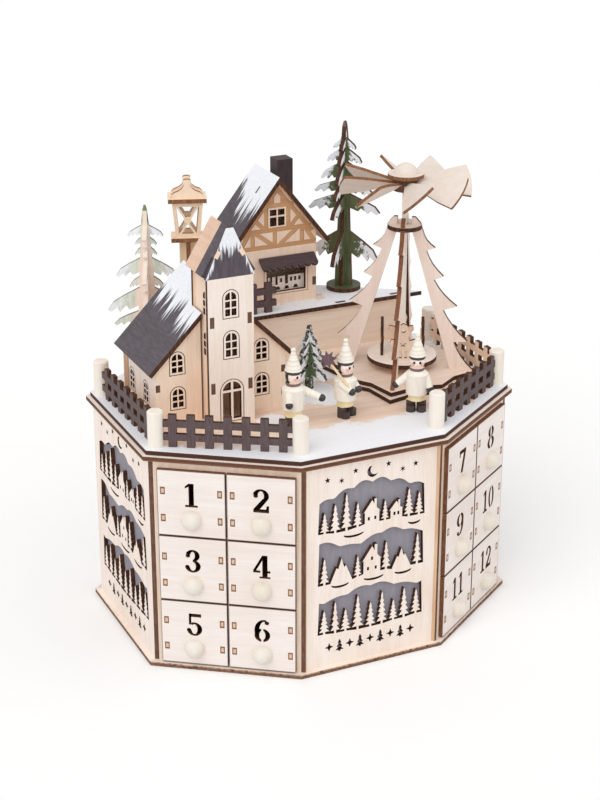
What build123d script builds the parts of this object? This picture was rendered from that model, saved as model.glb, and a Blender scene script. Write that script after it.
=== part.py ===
from build123d import *
import math
import os

os.makedirs("parts", exist_ok=True)

# Sheet thicknesses and clearances
PLY = 3.0
THIN = 2.0
BACKING = 1.0
ENGRAVE = 0.4
RUN_GAP = 0.5
LIFT_GAP = 0.25
PIN_GAP = 0.1

# Plan of the box: a stretched octagon, front at -Y
HALF_X = 134.5
HALF_Y = 113.5
FRONT_HALF = 51.75
SIDE_HALF = 55.5
WALL_INSET = 4.0
DECK_INSET = 2.7
WALL_H = 145.0
TURN = math.degrees(math.atan2(HALF_Y - SIDE_HALF, HALF_X - FRONT_HALF))

# Heights of the stacked boards
WALL_Z = PLY
LID_Z = WALL_Z + WALL_H
DECK_Z = LID_Z + PLY
GROUND = DECK_Z + PLY

# Drawer banks
BANK_DEPTH = 62.0
BANK_EXTRA = 3.4
FRONT_W = 44.0
FRONT_H = 45.5
COL_PITCH = 45.0
ROW_PITCH = 46.5
FIRST_ROW = 1.0
OPEN_W = 41.0
OPEN_H = 41.5
OPEN_RISE = 2.0
BOX_W = OPEN_W - 2 * RUN_GAP
BOX_H = 36.0
BOX_DEPTH = 54.0
TENON_W = 5.0
TENON_ROWS = (12.0, 31.0)
NUMBER_H = 16.4
NUMBER_MID = 28.9
NUMBER_WIDEN = 1.1
NUMBER_NARROW = 0.88
KNOB_Z = 12.0
KNOB_R = 6.6
KNOB_LIFT = 0.6
KNOB_PIN_R = 1.9
BANKS = ((-90 - TURN, 1), (-90 + TURN, 7), (90 - TURN, 13), (90 + TURN, 19))

# Wall panels
FRET_HALF = 49.5
BACK_MARGIN = 1.0

# Fence on the deck
POST_R = 5.15
POST_H = 24.0
POSTS = ((-45.0, -97.8), (52.0, -97.3), (126.0, -47.5), (125.5, 47.5), (-125.5, 47.5), (-123.3, -49.2))
PICKET_W = 5.2
PICKET_H = 22.0
PICKET_PITCH = 11.7
RAIL_H = 4.5
RAIL_ZS = (4.5, 13.5)
RAIL_SEAT = 1.6

# Terrace
TERRACE_H = 34.0
TERRACE_LEFT = -66.0
TERRACE_FRONT = 57.0
TERRACE_LIP = 2.0
TERRACE_EDGE = DECK_INSET + 2.0
TERRACE_Z = GROUND + TERRACE_H

# Church
NAVE_X = -67.0
NAVE_HALF = 45.6
NAVE_EAVE = 51.2
NAVE_FRONT = -22.9
NAVE_BACK = 38.0
NAVE_RIDGE = 88.7
NAVE_HANG = 2.5
TOWER_X = -65.25
TOWER_HALF = 15.75
TOWER_FRONT = -36.3
TOWER_BACK = -9.0
TOWER_H = 99.6
TOWER_RIDGE = 132.0
TOWER_EAVE = 18.6
TOWER_PITCH = 1.64
TOWER_SIDE_IN = 1.3
TOWER_KEYS = (22.0, 67.0)
TOWER_KEY_H = 7.5
TOWER_SILLS = (46.5, 74.0)
TOWER_WINDOW = (7.7, 15.8)
DOOR = (13.0, 26.0)
NAVE_WINDOW = (7.4, 12.6)
GABLE_TOP = 2.5

# House on the terrace
HOUSE_X = 17.3
HOUSE_HALF = 30.3
HOUSE_FRONT = 74.9
HOUSE_BACK = 107.0
HOUSE_RIDGE = 94.0
HOUSE_EAVE = 39.1
HOUSE_PITCH = 1.263
HOUSE_HANG = 4.5
HOUSE_BACK_HANG = 6.4
HOUSE_TABS = (10.6, 16.9)
CHIMNEY = 12.0
CHIMNEY_AT = (27.5, 90.0)
CHIMNEY_TOP = 102.5

# Lantern
LANTERN_AT = (-46.0, 85.0)
LANTERN_TURN = -20.0
LANTERN_POST_W = 12.0
LANTERN_POST_H = 54.0
LANTERN_PLATE = 23.3
LANTERN_CAP = 26.5
LANTERN_DEPTH = 14.0
LANTERN_CAGE_H = 25.0
LANTERN_CAGE = (8.4, 10.6)
LANTERN_BELL_HALF = 10.8
LANTERN_FINIAL = 13.0

# Trees
TALL_AT = (76.0, 88.0)
TALL_H = 124.0
WHITE_AT = (-84.0, 66.0)
WHITE_H = 122.0
SMALL_AT = (5.5, -2.8)
SMALL_H = 45.7
TALL_LEVELS = ((24, 26), (59, 27), (72, 22.5), (82, 17.5), (95, 13), (105, 8.5))
WHITE_TURN = 65.0
WHITE_LEVELS = ((38, 23), (48, 27), (65, 12), (73, 20.5), (88, 7.5), (95, 7.5), (101, 12))
CORE_HALF = 2.4
SMALL_LEVELS = ((9, 14.5), (18, 12.4), (27, 9.4), (34, 6.2))

# Candle-arch pyramid with its turning rotor
PYR_AT = (76.0, -4.0)
PYR_TURN = -125.3
STAR_TIP = 53.0
STAR_MID = 45.0
STAR_NOTCH = 41.0
STAR_STEP = 5.5
PYR_TOP_H = 102.0
PYR_TOP_R = 11.7
LEG_FOOT = (33.3, 49.0)
LEG_TIPS = ((44.9, 20.4), (37.1, 45.4), (27.3, 66.3), (21.2, 86.2))
LEG_NOTCHES = ((35.6, 19.5), (27.7, 42.3), (20.9, 63.5), (15.2, 84.1))
LEG_NECK = (12.6, 97.5)
LEG_TOP_IN = 4.8
LEG_RISE = 5.0
LEG_SAG = 1.4
SPINDLE_R = 2.0
SPINDLE_GAP = 0.3
DISC_LIFT = 5.5
DISC_R = 24.0
HUB_LIFT = 23.5
HUB_R = 8.5
HUB_H = 9.0
HUB_CAP_R = 12.25
HUB_CAP_H = 2.5
DOME_R = 8.4
DOME_RISE = 6.8
BLADES = 8
BLADE_R = 44.6
BLADE_HALF_DEG = 16.5
BLADE_TILT = 40.0
BLADE_PHASE = 18.0
BLADE_SEAT = 3.0
FIGURE_PHASE = 10.0
FIGURE_R = 14.0

# Carolers: place, facing direction, arms as glove offsets in the figure's own frame
CAROLERS = {
    "caroler_left": ((-31.0, -56.5), -62.0, ((-9.5, 15.8, 20.0), (9.0, 3.5, 17.5)), False),
    "caroler_middle": ((6.8, -55.5), -62.0, ((-3.0, 8.2, 19.5), (4.8, 8.8, 20.0)), True),
    "caroler_right": ((53.7, -66.6), -118.0, ((-9.0, 3.0, 16.0), (13.8, 2.5, 18.5)), False),
}
BOOT_H = 7.5
LEG_TOP = 12.0
COAT_TOP = 28.5
SCARF_H = 2.0
HEAD_R = 5.2
HAT_H = 12.5
GLOVE_R = 2.5
STAR_TOP = (12.6, -5.1, 41.7)
STAR_FACE = (0.8, 0.6, 0.0)
STAR_R = 6.0
STICK_R = 0.8


# Turn an outline so that it runs counter-clockwise
def ccw(points):
    area = sum(a[0] * b[1] - b[0] * a[1] for a, b in zip(points, points[1:] + points[:1]))
    return points if area > 0 else points[::-1]


# Sheet with the given outline, lying flat, thickness upward
def sheet(points, thick=PLY):
    return extrude(Polygon(*ccw([tuple(p) for p in points])), thick)


# Box from its low corner to its high corner
def block(low, high):
    size = [b - a for a, b in zip(low, high)]
    mid = [(a + b) / 2 for a, b in zip(low, high)]
    return Pos(*mid) * Box(*size)


# Stand a flat sheet up: its width to the right, its height up, its thickness along the outward angle
def stand(shape, x, y, z, out_deg):
    a = math.radians(out_deg)
    plane = Plane(origin=(x, y, z), x_dir=(-math.sin(a), math.cos(a), 0), z_dir=(math.cos(a), math.sin(a), 0))
    return plane.location * shape


# Point on the ground plan at a distance and angle from a centre
def polar(center, radius, deg):
    a = math.radians(deg)
    return (center[0] + radius * math.cos(a), center[1] + radius * math.sin(a))


# Cut a list of tools from a body
def cut(body, tools):
    for tool in tools:
        body = body - tool
    return body


# Join a list of solids into one
def join(items):
    body = items[0]
    for item in items[1:]:
        body = body + item
    return body


# Write one node as a group of its solids
def save(name, pieces):
    solids = [s for p in pieces for s in p.solids()]
    export_step(Compound(solids), os.path.join("parts", name + ".step"))


# Corners of the octagon moved in by a distance
def octagon(inset):
    fx = FRONT_HALF - inset * math.tan(math.radians(TURN / 2))
    sy = SIDE_HALF - inset * math.tan(math.radians((90 - TURN) / 2))
    ax, ay = HALF_X - inset, HALF_Y - inset
    return [(-fx, -ay), (fx, -ay), (ax, -sy), (ax, sy), (fx, ay), (-fx, ay), (-ax, sy), (-ax, -sy)]


# Points of an ellipse arc, angles in degrees
def arc_points(cx, cy, rx, ry, a0, a1, steps=10):
    out = []
    for i in range(steps + 1):
        a = math.radians(a0 + (a1 - a0) * i / steps)
        out.append((cx + rx * math.cos(a), cy + ry * math.sin(a)))
    return out


# Thick-and-thin stroke along an ellipse arc
def stroke(cx, cy, rx, ry, a0, a1, wide=0.18, slim=0.09, steps=12):
    outer = arc_points(cx, cy, rx, ry, a0, a1, steps)
    inner = arc_points(cx, cy, rx - wide, ry - slim, a0, a1, steps)
    return outer + inner[::-1]


# Round ball end of a numeral
def dot(cx, cy, r=0.085):
    return arc_points(cx, cy, r, r, 0, 330, 11)


def bar(x0, y0, x1, y1):
    return [(x0, y0), (x1, y0), (x1, y1), (x0, y1)]


# Stencil numerals of unit height: strokes, then the bridges left standing
SIX = [stroke(0, 0.3, 0.29, 0.3, 0, 180), stroke(0, 0.3, 0.29, 0.3, 180, 360),
       stroke(0.07, 0.5, 0.36, 0.5, 75, 200), dot(0.17, 0.86)]
NUMERALS = {
    "0": ([stroke(0, 0.5, 0.3, 0.5, 0, 180), stroke(0, 0.5, 0.3, 0.5, 180, 360)],
          [bar(-0.035, -0.1, 0.035, 0.2), bar(-0.035, 0.8, 0.035, 1.1)]),
    "1": ([bar(-0.09, 0.0, 0.1, 1.0), bar(-0.22, 0, 0.23, 0.09),
           [(-0.09, 1.0), (-0.22, 0.87), (-0.22, 0.78), (-0.09, 0.86)]],
          []),
    "2": ([stroke(-0.01, 0.71, 0.29, 0.29, 170, -35), dot(-0.19, 0.7), bar(-0.28, 0, 0.28, 0.15),
           [(0.24, 0.56), (0.06, 0.6), (-0.28, 0.14), (-0.05, 0.14)],
           [(0.28, 0.1), (0.28, 0.3), (0.2, 0.3), (0.16, 0.1)]],
          []),
    "3": ([stroke(0, 0.74, 0.26, 0.26, 165, -90), stroke(0, 0.28, 0.29, 0.28, 90, -165), dot(-0.17, 0.73),
           dot(-0.2, 0.24)],
          []),
    "4": ([bar(0.02, 0, 0.21, 1.0), bar(-0.31, 0.24, 0.31, 0.34), bar(-0.08, 0, 0.31, 0.08),
           [(0.02, 1.0), (-0.31, 0.34), (-0.2, 0.34), (0.02, 0.78)]],
          [bar(-0.05, 0.2, 0.02, 0.4)]),
    "5": ([bar(-0.2, 0.85, 0.26, 1.0), bar(-0.2, 0.5, -0.11, 0.9), stroke(0, 0.31, 0.29, 0.31, 128, -165),
           dot(-0.2, 0.26)],
          []),
    "6": (SIX, [bar(-0.035, -0.1, 0.035, 0.2), bar(-0.035, 0.44, 0.035, 0.72)]),
    "7": ([bar(-0.26, 0.84, 0.28, 1.0), [(0.28, 0.86), (0.1, 0.86), (-0.14, 0), (0.05, 0)],
           bar(-0.26, 0.72, -0.18, 0.9)],
          []),
    "8": ([stroke(0, 0.75, 0.24, 0.25, 0, 180), stroke(0, 0.75, 0.24, 0.25, 180, 360),
           stroke(0, 0.27, 0.29, 0.27, 0, 180), stroke(0, 0.27, 0.29, 0.27, 180, 360)],
          [bar(-0.035, -0.1, 0.035, 0.2), bar(-0.035, 0.4, 0.035, 0.64), bar(-0.035, 0.86, 0.035, 1.1)]),
}
NUMERALS["9"] = ([[(-x, 1 - y) for x, y in s] for s in NUMERALS["6"][0]],
                 [[(-x, 1 - y) for x, y in s] for s in NUMERALS["6"][1]])


# Cutting tools for one numeral, centred on x and y
def numeral(char, x, y, height, narrow=1.0):
    place = lambda pts: [(x + px * height * narrow, y + (py - 0.5) * height) for px, py in pts]
    strokes, bridges = NUMERALS[char]
    tools = [Pos(0, 0, -PLY) * sheet(place(s), 3 * PLY) for s in strokes]
    holds = [Pos(0, 0, -2 * PLY) * sheet(place(b), 5 * PLY) for b in bridges]
    return [cut(t, holds) for t in tools]


# Rounded-top window or door outline
def arch(cx, z0, w, h, grow=0.0, steps=10):
    r = w / 2 + grow
    top = arc_points(cx, z0 + h - w / 2, r, r, 0, 180, steps)
    return [(cx - r, z0 - grow), (cx + r, z0 - grow)] + top


# Arched window: openings between glazing bars, and its engraved outline
def arch_window(cx, z0, w, h, rows=3, bars=1.0, upright=1.0):
    pane = Pos(0, 0, -PLY) * sheet(arch(cx, z0, w, h), 3 * PLY)
    holds = [block((cx - upright / 2, z0 - 1, -2 * PLY), (cx + upright / 2, z0 + h + 1, 4 * PLY))]
    for i in range(1, rows):
        z = z0 + (h - 0.5) * i / rows
        holds.append(block((cx - w, z - bars / 2, -2 * PLY), (cx + w, z + bars / 2, 4 * PLY)))
    ring = Pos(0, 0, PLY - ENGRAVE) * (sheet(arch(cx, z0, w, h, 1.9)) - sheet(arch(cx, z0, w, h, 1.35)))
    return [cut(pane, holds), ring]


# Fir-tree outline on a base line, from left to right
def fir(x, y, w, h, tiers=5):
    left = []
    for i in range(tiers):
        half = w / 2 * (1 - i / (tiers + 0.4))
        left.append((x - half, y + h * (0.1 + 0.9 * i / tiers)))
        left.append((x - half * 0.36, y + h * (0.1 + 0.9 * (i + 0.8) / tiers)))
    left = [(x - 0.8, y), (x - 0.8, y + h * 0.1)] + left
    return left + [(x, y + h)] + [(2 * x - px, py) for px, py in left[::-1]]


# Cottage outline on a base line, from left to right
def cottage(x, y, w, h):
    half = w / 2
    return [(x - half, y), (x - half, y + h * 0.5), (x - half - 1.2, y + h * 0.46), (x, y + h),
            (x + half * 0.3, y + h * 0.82), (x + half * 0.3, y + h * 1.05), (x + half * 0.62, y + h * 1.05),
            (x + half * 0.62, y + h * 0.66), (x + half + 1.2, y + h * 0.46), (x + half, y + h * 0.5),
            (x + half, y)]


# Mountain outline on a base line, from left to right
def peak(x, y, w, h):
    return [(x - w / 2, y), (x - w * 0.22, y + h * 0.62), (x - w * 0.14, y + h * 0.56), (x, y + h),
            (x + w * 0.12, y + h * 0.6), (x + w * 0.2, y + h * 0.68), (x + w / 2, y)]


# Star outline
def star(x, y, r, points=5, inner=0.42, turn=90.0):
    out = []
    for i in range(2 * points):
        a = math.radians(turn + 180 * i / points)
        rad = r if i % 2 == 0 else r * inner
        out.append((x + rad * math.cos(a), y + rad * math.sin(a)))
    return out


# Winter landscape cut-outs for one wall panel, widened to suit it
def fret_outlines(stretch):
    edge = 41.0
    top_a = [(u, 121 + 6 * math.cos(u / 17.0) + 2.6 * abs(math.sin(u / 4.6))) for u in range(40, -41, -2)]
    low_a = ([(-edge, 97)] + fir(-36, 97, 7, 14) + fir(-28, 96, 8, 20) + fir(-19.5, 96, 8, 26, 6)
        + fir(-11, 97, 7, 17) + cottage(0, 98, 11, 16) + fir(10, 98, 6, 14) + cottage(18.8, 98, 9, 12)
        + fir(28.5, 97, 8, 20, 6) + fir(36.5, 97, 7, 16) + [(edge, 97)])
    top_b = [(u, 87 + 3 * math.sin(u / 9.0) + 1.8 * abs(math.cos(u / 5.2))) for u in range(40, -41, -2)]
    low_b = ([(-edge, 60)] + fir(-36, 60, 7, 19) + peak(-23, 60, 17, 17) + fir(-10.5, 61, 6, 15)
        + cottage(0.5, 62, 13, 19) + fir(11.5, 62, 7, 20) + peak(23.5, 61, 15, 14) + fir(36, 61, 7, 22)
        + [(edge, 61)])
    top_c = [(u, 49.5 + 3 * math.cos(u / 12.0) + 1.8 * abs(math.sin(u / 5.8))) for u in range(40, -41, -2)]
    low_c = ([(-edge, 24)] + fir(-36, 24, 8, 17) + fir(-27.5, 23, 7, 23) + fir(-19.5, 23, 8, 16)
        + fir(-10, 22, 9, 25, 6) + fir(0, 22, 8, 18) + fir(9, 22, 8, 24, 6) + fir(18, 23, 7, 15)
        + fir(26.5, 23, 8, 22) + fir(36, 24, 8, 18) + [(edge, 24)])
    shapes = [low_a + top_a, low_b + top_b, low_c + top_c]
    shapes += [star(u, v, 2.3) for u, v in ((-34, 134), (-13, 137), (12, 137.5), (33, 134))]
    shapes += [star(u, 132, 2.6, 6, 0.3) for u in (-23.5, 23)]
    moon = arc_points(0, 134.5, 4.2, 4.2, 120, 330, 12) + arc_points(1.6, 135.4, 3.4, 3.4, 325, 125, 12)
    shapes.append(moon)
    shapes += [star(u, 13.5, 3.4, 4, 0.4) for u in (-32, -16, 0, 16, 32)]
    shapes += [fir(u, 9, 6.5, 9, 3) for u in (-24, -8, 8, 24)]
    panes = ((-2.5, 100), (2.5, 100), (17.3, 100), (20.3, 100), (-2.5, 64), (3.5, 64), (0.5, 71))
    shapes += [bar(x - 0.8, y, x + 0.8, y + 2.4) for x, y in panes]
    for u, v, w in ((-14, 93.0, 8), (33, 93.2, 5), (-24, 58.6, 7), (2, 58.8, 8), (25, 58.6, 7)):
        shapes.append(arc_points(u, v, w, 2.6, 200, 340, 8) + arc_points(u, v + 0.7, w, 1.7, 340, 200, 8))
    return [[(u * stretch, v) for u, v in shape] for shape in shapes]


# Flat picket fence of a given length
def picket_fence(length, count):
    pieces = [block((-length / 2, z, 0), (length / 2, z + RAIL_H, PLY)) for z in RAIL_ZS]
    first = -PICKET_PITCH * (count - 1) / 2
    for i in range(count):
        x = first + i * PICKET_PITCH
        pieces.append(block((x - PICKET_W / 2, 0, 0), (x + PICKET_W / 2, PICKET_H, PLY)))
    return join(pieces)


# Half outline of a drooping conifer, from the foot to the tip
def conifer_half(levels, height, trunk, droop, ragged):
    pts = [(trunk, 0)]
    for i, (z, r) in enumerate(levels):
        hold = trunk * (1 - 0.8 * z / height)
        rise = min(r * droop, (levels[i + 1][0] if i + 1 < len(levels) else height) - z - 0.6)
        pts.append((hold, z + rise * 0.2))
        if ragged:
            pts += [(hold + (r - hold) * 0.3, z + rise * 0.02), (hold + (r - hold) * 0.4, z + rise * 0.22),
                    (hold + (r - hold) * 0.62, z - rise * 0.08), (hold + (r - hold) * 0.7, z + rise * 0.12)]
        pts += [(r * 0.93, z - 1.2), (r, z), (r * 0.86, z + rise * 0.36),
            (hold + (r - hold) * 0.45, z + rise * 0.66)]
        pts.append((trunk * (1 - 0.8 * (z + rise) / height), z + rise))
    tidy = [pts[0]]
    for p in pts[1:]:
        tidy.append((max(p[0], CORE_HALF), p[1]))
    return tidy + [(CORE_HALF * 0.6, height - 3.0), (0.6, height)]


# Two crossed boards of a tree, half-lapped into each other
def crossed_tree(at, z0, turn, levels, height, trunk, droop, ragged, lap):
    half = conifer_half(levels, height, trunk, droop, ragged)
    outline = half + [(-x, z) for x, z in half[::-1]]
    board = Pos(0, 0, -PLY / 2) * sheet(outline)
    low_slot = block((-PLY / 2, -1, -PLY), (PLY / 2, lap, PLY))
    high_slot = block((-PLY / 2, lap, -PLY), (PLY / 2, height + 1, PLY))
    first = stand(board - low_slot, at[0], at[1], z0, turn)
    prongs = (board - high_slot).solids().sort_by(SortBy.VOLUME)[-1]
    second = stand(prongs, at[0], at[1], z0, turn + 90)
    return [first, second]


# Base board, lid and deck
save("base_board", [sheet(octagon(0))])
save("lid_board", [Pos(0, 0, LID_Z) * sheet(octagon(0))])
save("deck_board", [Pos(0, 0, DECK_Z) * sheet(octagon(DECK_INSET))])

# Fretted wall panels with their grey backing sheets
wall = octagon(WALL_INSET)
front_half = wall[1][0] - BANK_EXTRA / math.cos(math.radians(TURN))
side_half = -wall[2][1]
bank_half = (math.dist(wall[1], wall[2]) + BANK_EXTRA) / 2
frets, backings = [], []
for out, half, lean in ((-90, front_half, 90 - TURN), (0, side_half, TURN), (90, front_half, 90 - TURN),
    (180, side_half, TURN)):
    dist = HALF_Y - WALL_INSET if out % 180 else HALF_X - WALL_INSET
    cut_in = PLY / math.tan(math.radians(lean))
    plan = [(-half, 0), (half, 0), (half - cut_in, -PLY), (-half + cut_in, -PLY)]
    slab = Rot(-90, 0, 0) * (Rot(180, 0, 0) * sheet(plan, WALL_H))
    slab = Pos(0, WALL_H / 2 - slab.bounding_box().center().Y, 0) * slab
    slab = Pos(0, 0, -slab.bounding_box().max.Z) * slab
    holes = [Pos(0, 0, -2 * PLY) * sheet(s, 4 * PLY) for s in fret_outlines(half / FRET_HALF)]
    x, y = polar((0, 0), dist, out)
    frets.append(stand(cut(slab, holes), x, y, WALL_Z, out))
    reach = half - (PLY + BACKING) / math.tan(math.radians(lean)) - BACK_MARGIN
    grey = block((-reach, 6, -PLY - BACKING), (reach, WALL_H - 4, -PLY))
    backings.append(stand(grey, x, y, WALL_Z, out))
save("fret_panels", frets)
save("fret_backings", backings)


# Middle of a bank's face: the bank reaches past the narrow wall's corner
def bank_middle(out):
    a = math.radians(out)
    sx = math.copysign(1, math.cos(a))
    sy = math.copysign(1, math.sin(a))
    shift = sx * sy * BANK_EXTRA / 2
    x = sx * (wall[1][0] + wall[2][0]) / 2 - shift * math.sin(a)
    y = sy * (-wall[1][1] - wall[2][1]) / 2 + shift * math.cos(a)
    return x, y


# Drawer banks: side walls, face frames, shelves, dividers, backs
inner_half = bank_half - PLY
row_z = [FIRST_ROW + i * ROW_PITCH for i in range(3)]
open_z = [z + OPEN_RISE for z in row_z]
lap_at = -(BANK_DEPTH) / 2
sides, frames, shelves, dividers, backs = [], [], [], [], []
for out, first in BANKS:
    mx, my = bank_middle(out)
    put = lambda shape: stand(shape, mx, my, WALL_Z, out)
    for side in (-1, 1):
        u0, u1 = sorted((side * inner_half, side * bank_half))
        sides.append(put(block((u0, 0, -BANK_DEPTH), (u1, WALL_H, 0))))
    frame = block((-inner_half, 0, -PLY), (inner_half, WALL_H, 0))
    gaps = [block((c * COL_PITCH / 2 - OPEN_W / 2, z, -2 * PLY),
        (c * COL_PITCH / 2 + OPEN_W / 2, z + OPEN_H, PLY))
            for c in (-1, 1) for z in open_z]
    frames.append(put(cut(frame, gaps)))
    for i, z in enumerate(open_z):
        shelf = block((-inner_half, z - PLY, -BANK_DEPTH + PLY), (inner_half, z, -PLY))
        if i:
            shelf = shelf - block((-PLY / 2, z - 2 * PLY, lap_at), (PLY / 2, z + PLY, 0))
        shelves.append(put(shelf))
    divider = block((-PLY / 2, open_z[0], -BANK_DEPTH + PLY), (PLY / 2, WALL_H, -PLY))
    slots = [block((-PLY, z - PLY, -BANK_DEPTH), (PLY, z, lap_at)) for z in open_z[1:]]
    dividers.append(put(cut(divider, slots)))
    backs.append(put(block((-inner_half, 0, -BANK_DEPTH), (inner_half, WALL_H, -BANK_DEPTH + PLY))))
save("bank_side_walls", sides)
save("drawer_frames", frames)
save("bank_shelves", shelves)
save("bank_dividers", dividers)
save("bank_backs", backs)

# Twenty-four drawers, each a front, two sides, a back, a bottom and a turned knob
box_z = OPEN_RISE + LIFT_GAP
for out, first in BANKS:
    mx, my = bank_middle(out)
    for index in range(6):
        col, row = index % 2, 2 - index // 2
        label = str(first + index)
        front = block((-FRONT_W / 2, 0, 0), (FRONT_W / 2, FRONT_H, PLY))
        narrow = NUMBER_WIDEN if len(label) == 1 else NUMBER_NARROW
        step = NUMBER_H * 0.66 * narrow
        for i, char in enumerate(label):
            front = cut(front, numeral(char, (i - (len(label) - 1) / 2) * step, NUMBER_MID, NUMBER_H, narrow))
        pieces = []
        for side in (-1, 1):
            u0, u1 = sorted((side * BOX_W / 2, side * (BOX_W / 2 - PLY)))
            plank = block((u0, box_z, -BOX_DEPTH), (u1, box_z + BOX_H, 0))
            for z in TENON_ROWS:
                tongue = block((u0, z - TENON_W / 2, 0), (u1, z + TENON_W / 2, PLY))
                front = front - tongue
                plank = plank + tongue
            pieces.append(plank)
        inside = BOX_W / 2 - PLY
        pieces.append(block((-inside, box_z, -BOX_DEPTH), (inside, box_z + BOX_H, -BOX_DEPTH + PLY)))
        pieces.append(block((-inside, box_z, -BOX_DEPTH + PLY), (inside, box_z + PLY, 0)))
        front = front - Pos(0, KNOB_Z, PLY / 2) * Cylinder(KNOB_PIN_R + PIN_GAP, 3 * PLY)
        knob = Pos(0, KNOB_Z, PLY + KNOB_LIFT) * Sphere(KNOB_R)
        knob = knob - block((-KNOB_R, KNOB_Z - KNOB_R, -KNOB_R), (KNOB_R, KNOB_Z + KNOB_R, PLY))
        knob = knob + Pos(0, KNOB_Z, PLY / 2 + KNOB_LIFT) * Cylinder(KNOB_PIN_R, PLY + 2 * KNOB_LIFT)
        u = (col - 0.5) * COL_PITCH
        group = [Pos(u, row_z[row], 0) * p for p in [front] + pieces + [knob]]
        save("drawer_%02d" % (first + index), [stand(p, mx, my, WALL_Z, out) for p in group])

# Fence posts and picket fences between them
fences = []
for start, end, count in ((5, 0, 7), (1, 2, 7), (2, 3, 7), (4, 5, 7)):
    p, q = POSTS[start], POSTS[end]
    span = math.dist(p, q) - 2 * (POST_R - RAIL_SEAT)
    heading = math.degrees(math.atan2(q[1] - p[1], q[0] - p[0]))
    fence = Pos(0, 0, -PLY / 2) * picket_fence(span, count)
    fences.append(stand(fence, (p[0] + q[0]) / 2, (p[1] + q[1]) / 2, GROUND, heading - 90))
post_solid = Cylinder(POST_R, POST_H)
post_solid = chamfer(post_solid.edges().group_by(Axis.Z)[-1], 0.8)
posts = [cut(Pos(x, y, GROUND + POST_H / 2) * post_solid, fences) for x, y in POSTS]
terrace_fence = Pos(0, 0, -PLY) * picket_fence(5 * PICKET_PITCH, 5)
fences.append(stand(terrace_fence, -19.0, TERRACE_FRONT + 4.0, TERRACE_Z, -90))
save("fence_posts", posts)
save("picket_fences", fences)

# Terrace: top board on four walls
edge = octagon(TERRACE_EDGE)
slope = (edge[4][1] - edge[3][1]) / (edge[4][0] - edge[3][0])
right_x = edge[3][0] + (TERRACE_FRONT - edge[3][1]) / slope
left_y = edge[5][1] - slope * (TERRACE_LEFT - edge[5][0])
top = [(TERRACE_LEFT, TERRACE_FRONT), (right_x, TERRACE_FRONT), edge[4], edge[5], (TERRACE_LEFT, left_y)]
wall_y = TERRACE_FRONT + TERRACE_LIP
wall_h = TERRACE_H - PLY
front_wall = block((TERRACE_LEFT + TERRACE_LIP, wall_y, GROUND), (right_x - 8, wall_y + PLY, GROUND + wall_h))
tabs = [block((x - 4, wall_y, GROUND + wall_h), (x + 4, wall_y + PLY, TERRACE_Z))
    for x in (-55.0, 60.0, 104.0)]
back_y = edge[4][1] - TERRACE_LIP
back_wall = block((edge[5][0] + 3, back_y - PLY, GROUND), (edge[4][0] - 3, back_y, GROUND + wall_h))
end_x = TERRACE_LEFT + TERRACE_LIP
end_wall = block((end_x, wall_y + PLY, GROUND), (end_x + PLY, left_y - 6, GROUND + wall_h))
mid = ((right_x + edge[4][0]) / 2, (TERRACE_FRONT + edge[4][1]) / 2)
half_run = math.dist((right_x, TERRACE_FRONT), edge[4]) / 2 - 9
skew = block((-half_run, 0, -TERRACE_LIP - PLY), (half_run, wall_h, -TERRACE_LIP))
skew_wall = stand(skew, mid[0], mid[1], GROUND, 90 - TURN)
top_board = cut(Pos(0, 0, TERRACE_Z - PLY) * sheet(top), tabs)
save("terrace_walls", [join([front_wall] + tabs), back_wall, end_wall, skew_wall])
save("terrace_top", [top_board])

# Church tower
tower_low = TOWER_H + GROUND
ridge_z = GROUND + TOWER_RIDGE


# Underside of the tower's roof boards above a given distance from the ridge line
def tower_under(d):
    return ridge_z - TOWER_PITCH * d - PLY * math.hypot(1, TOWER_PITCH)


front = block((-TOWER_HALF, 0, 0), (TOWER_HALF, TOWER_H, PLY))
marks = arch_window(0, TOWER_SILLS[0], *TOWER_WINDOW) + arch_window(0, TOWER_SILLS[1], *TOWER_WINDOW)
door = arch_window(0, PLY, *DOOR, 1, 1.4, 1.6)
lintel_z = PLY + DOOR[1] - DOOR[0] / 2
lintel = block((-DOOR[0], lintel_z - 0.8, -PLY), (DOOR[0], lintel_z + 0.8, 3 * PLY))
marks += [door[0] - lintel, door[1]]
side_u = TOWER_HALF - TOWER_SIDE_IN
keys = [(side, z) for side in (-1, 1) for z in TOWER_KEYS]
key_holes = []
for side, z in keys:
    u0, u1 = sorted((side * side_u, side * (side_u - PLY)))
    key_holes.append(block((u0, z, 0), (u1, z + TOWER_KEY_H, PLY)))
tower_front = stand(cut(front, marks + key_holes), TOWER_X, TOWER_FRONT + PLY, GROUND, -90)
tower_sides = []
for side in (-1, 1):
    x0, x1 = side * side_u, side * (side_u - PLY)
    shape = [(x0, 0), (x1, 0), (x1, tower_under(abs(x1)) - GROUND), (x0, tower_under(abs(x0)) - GROUND)]
    depth = TOWER_BACK - PLY - TOWER_FRONT - PLY
    panel = Pos(TOWER_X, TOWER_BACK - PLY, GROUND) * (Rot(90, 0, 0) * sheet(shape, depth))
    for z in TOWER_KEYS:
        u0, u1 = sorted((TOWER_X + x0, TOWER_X + x1))
        panel = panel + block((u0, TOWER_FRONT, GROUND + z),
            (u1, TOWER_FRONT + PLY, GROUND + z + TOWER_KEY_H))
    if side < 0:
        holes = [arch_window(0, z, *TOWER_WINDOW)[0] for z in TOWER_SILLS]
        at_x, at_y = TOWER_X - side_u + PLY, -29.2
        panel = cut(panel, [stand(h, at_x, at_y, GROUND, 180) for h in holes])
    tower_sides.append(panel)
tower_back = block((TOWER_X - TOWER_HALF, TOWER_BACK - PLY, GROUND),
    (TOWER_X + TOWER_HALF, TOWER_BACK, tower_low))
save("tower_walls", [tower_front, tower_back] + tower_sides)

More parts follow.
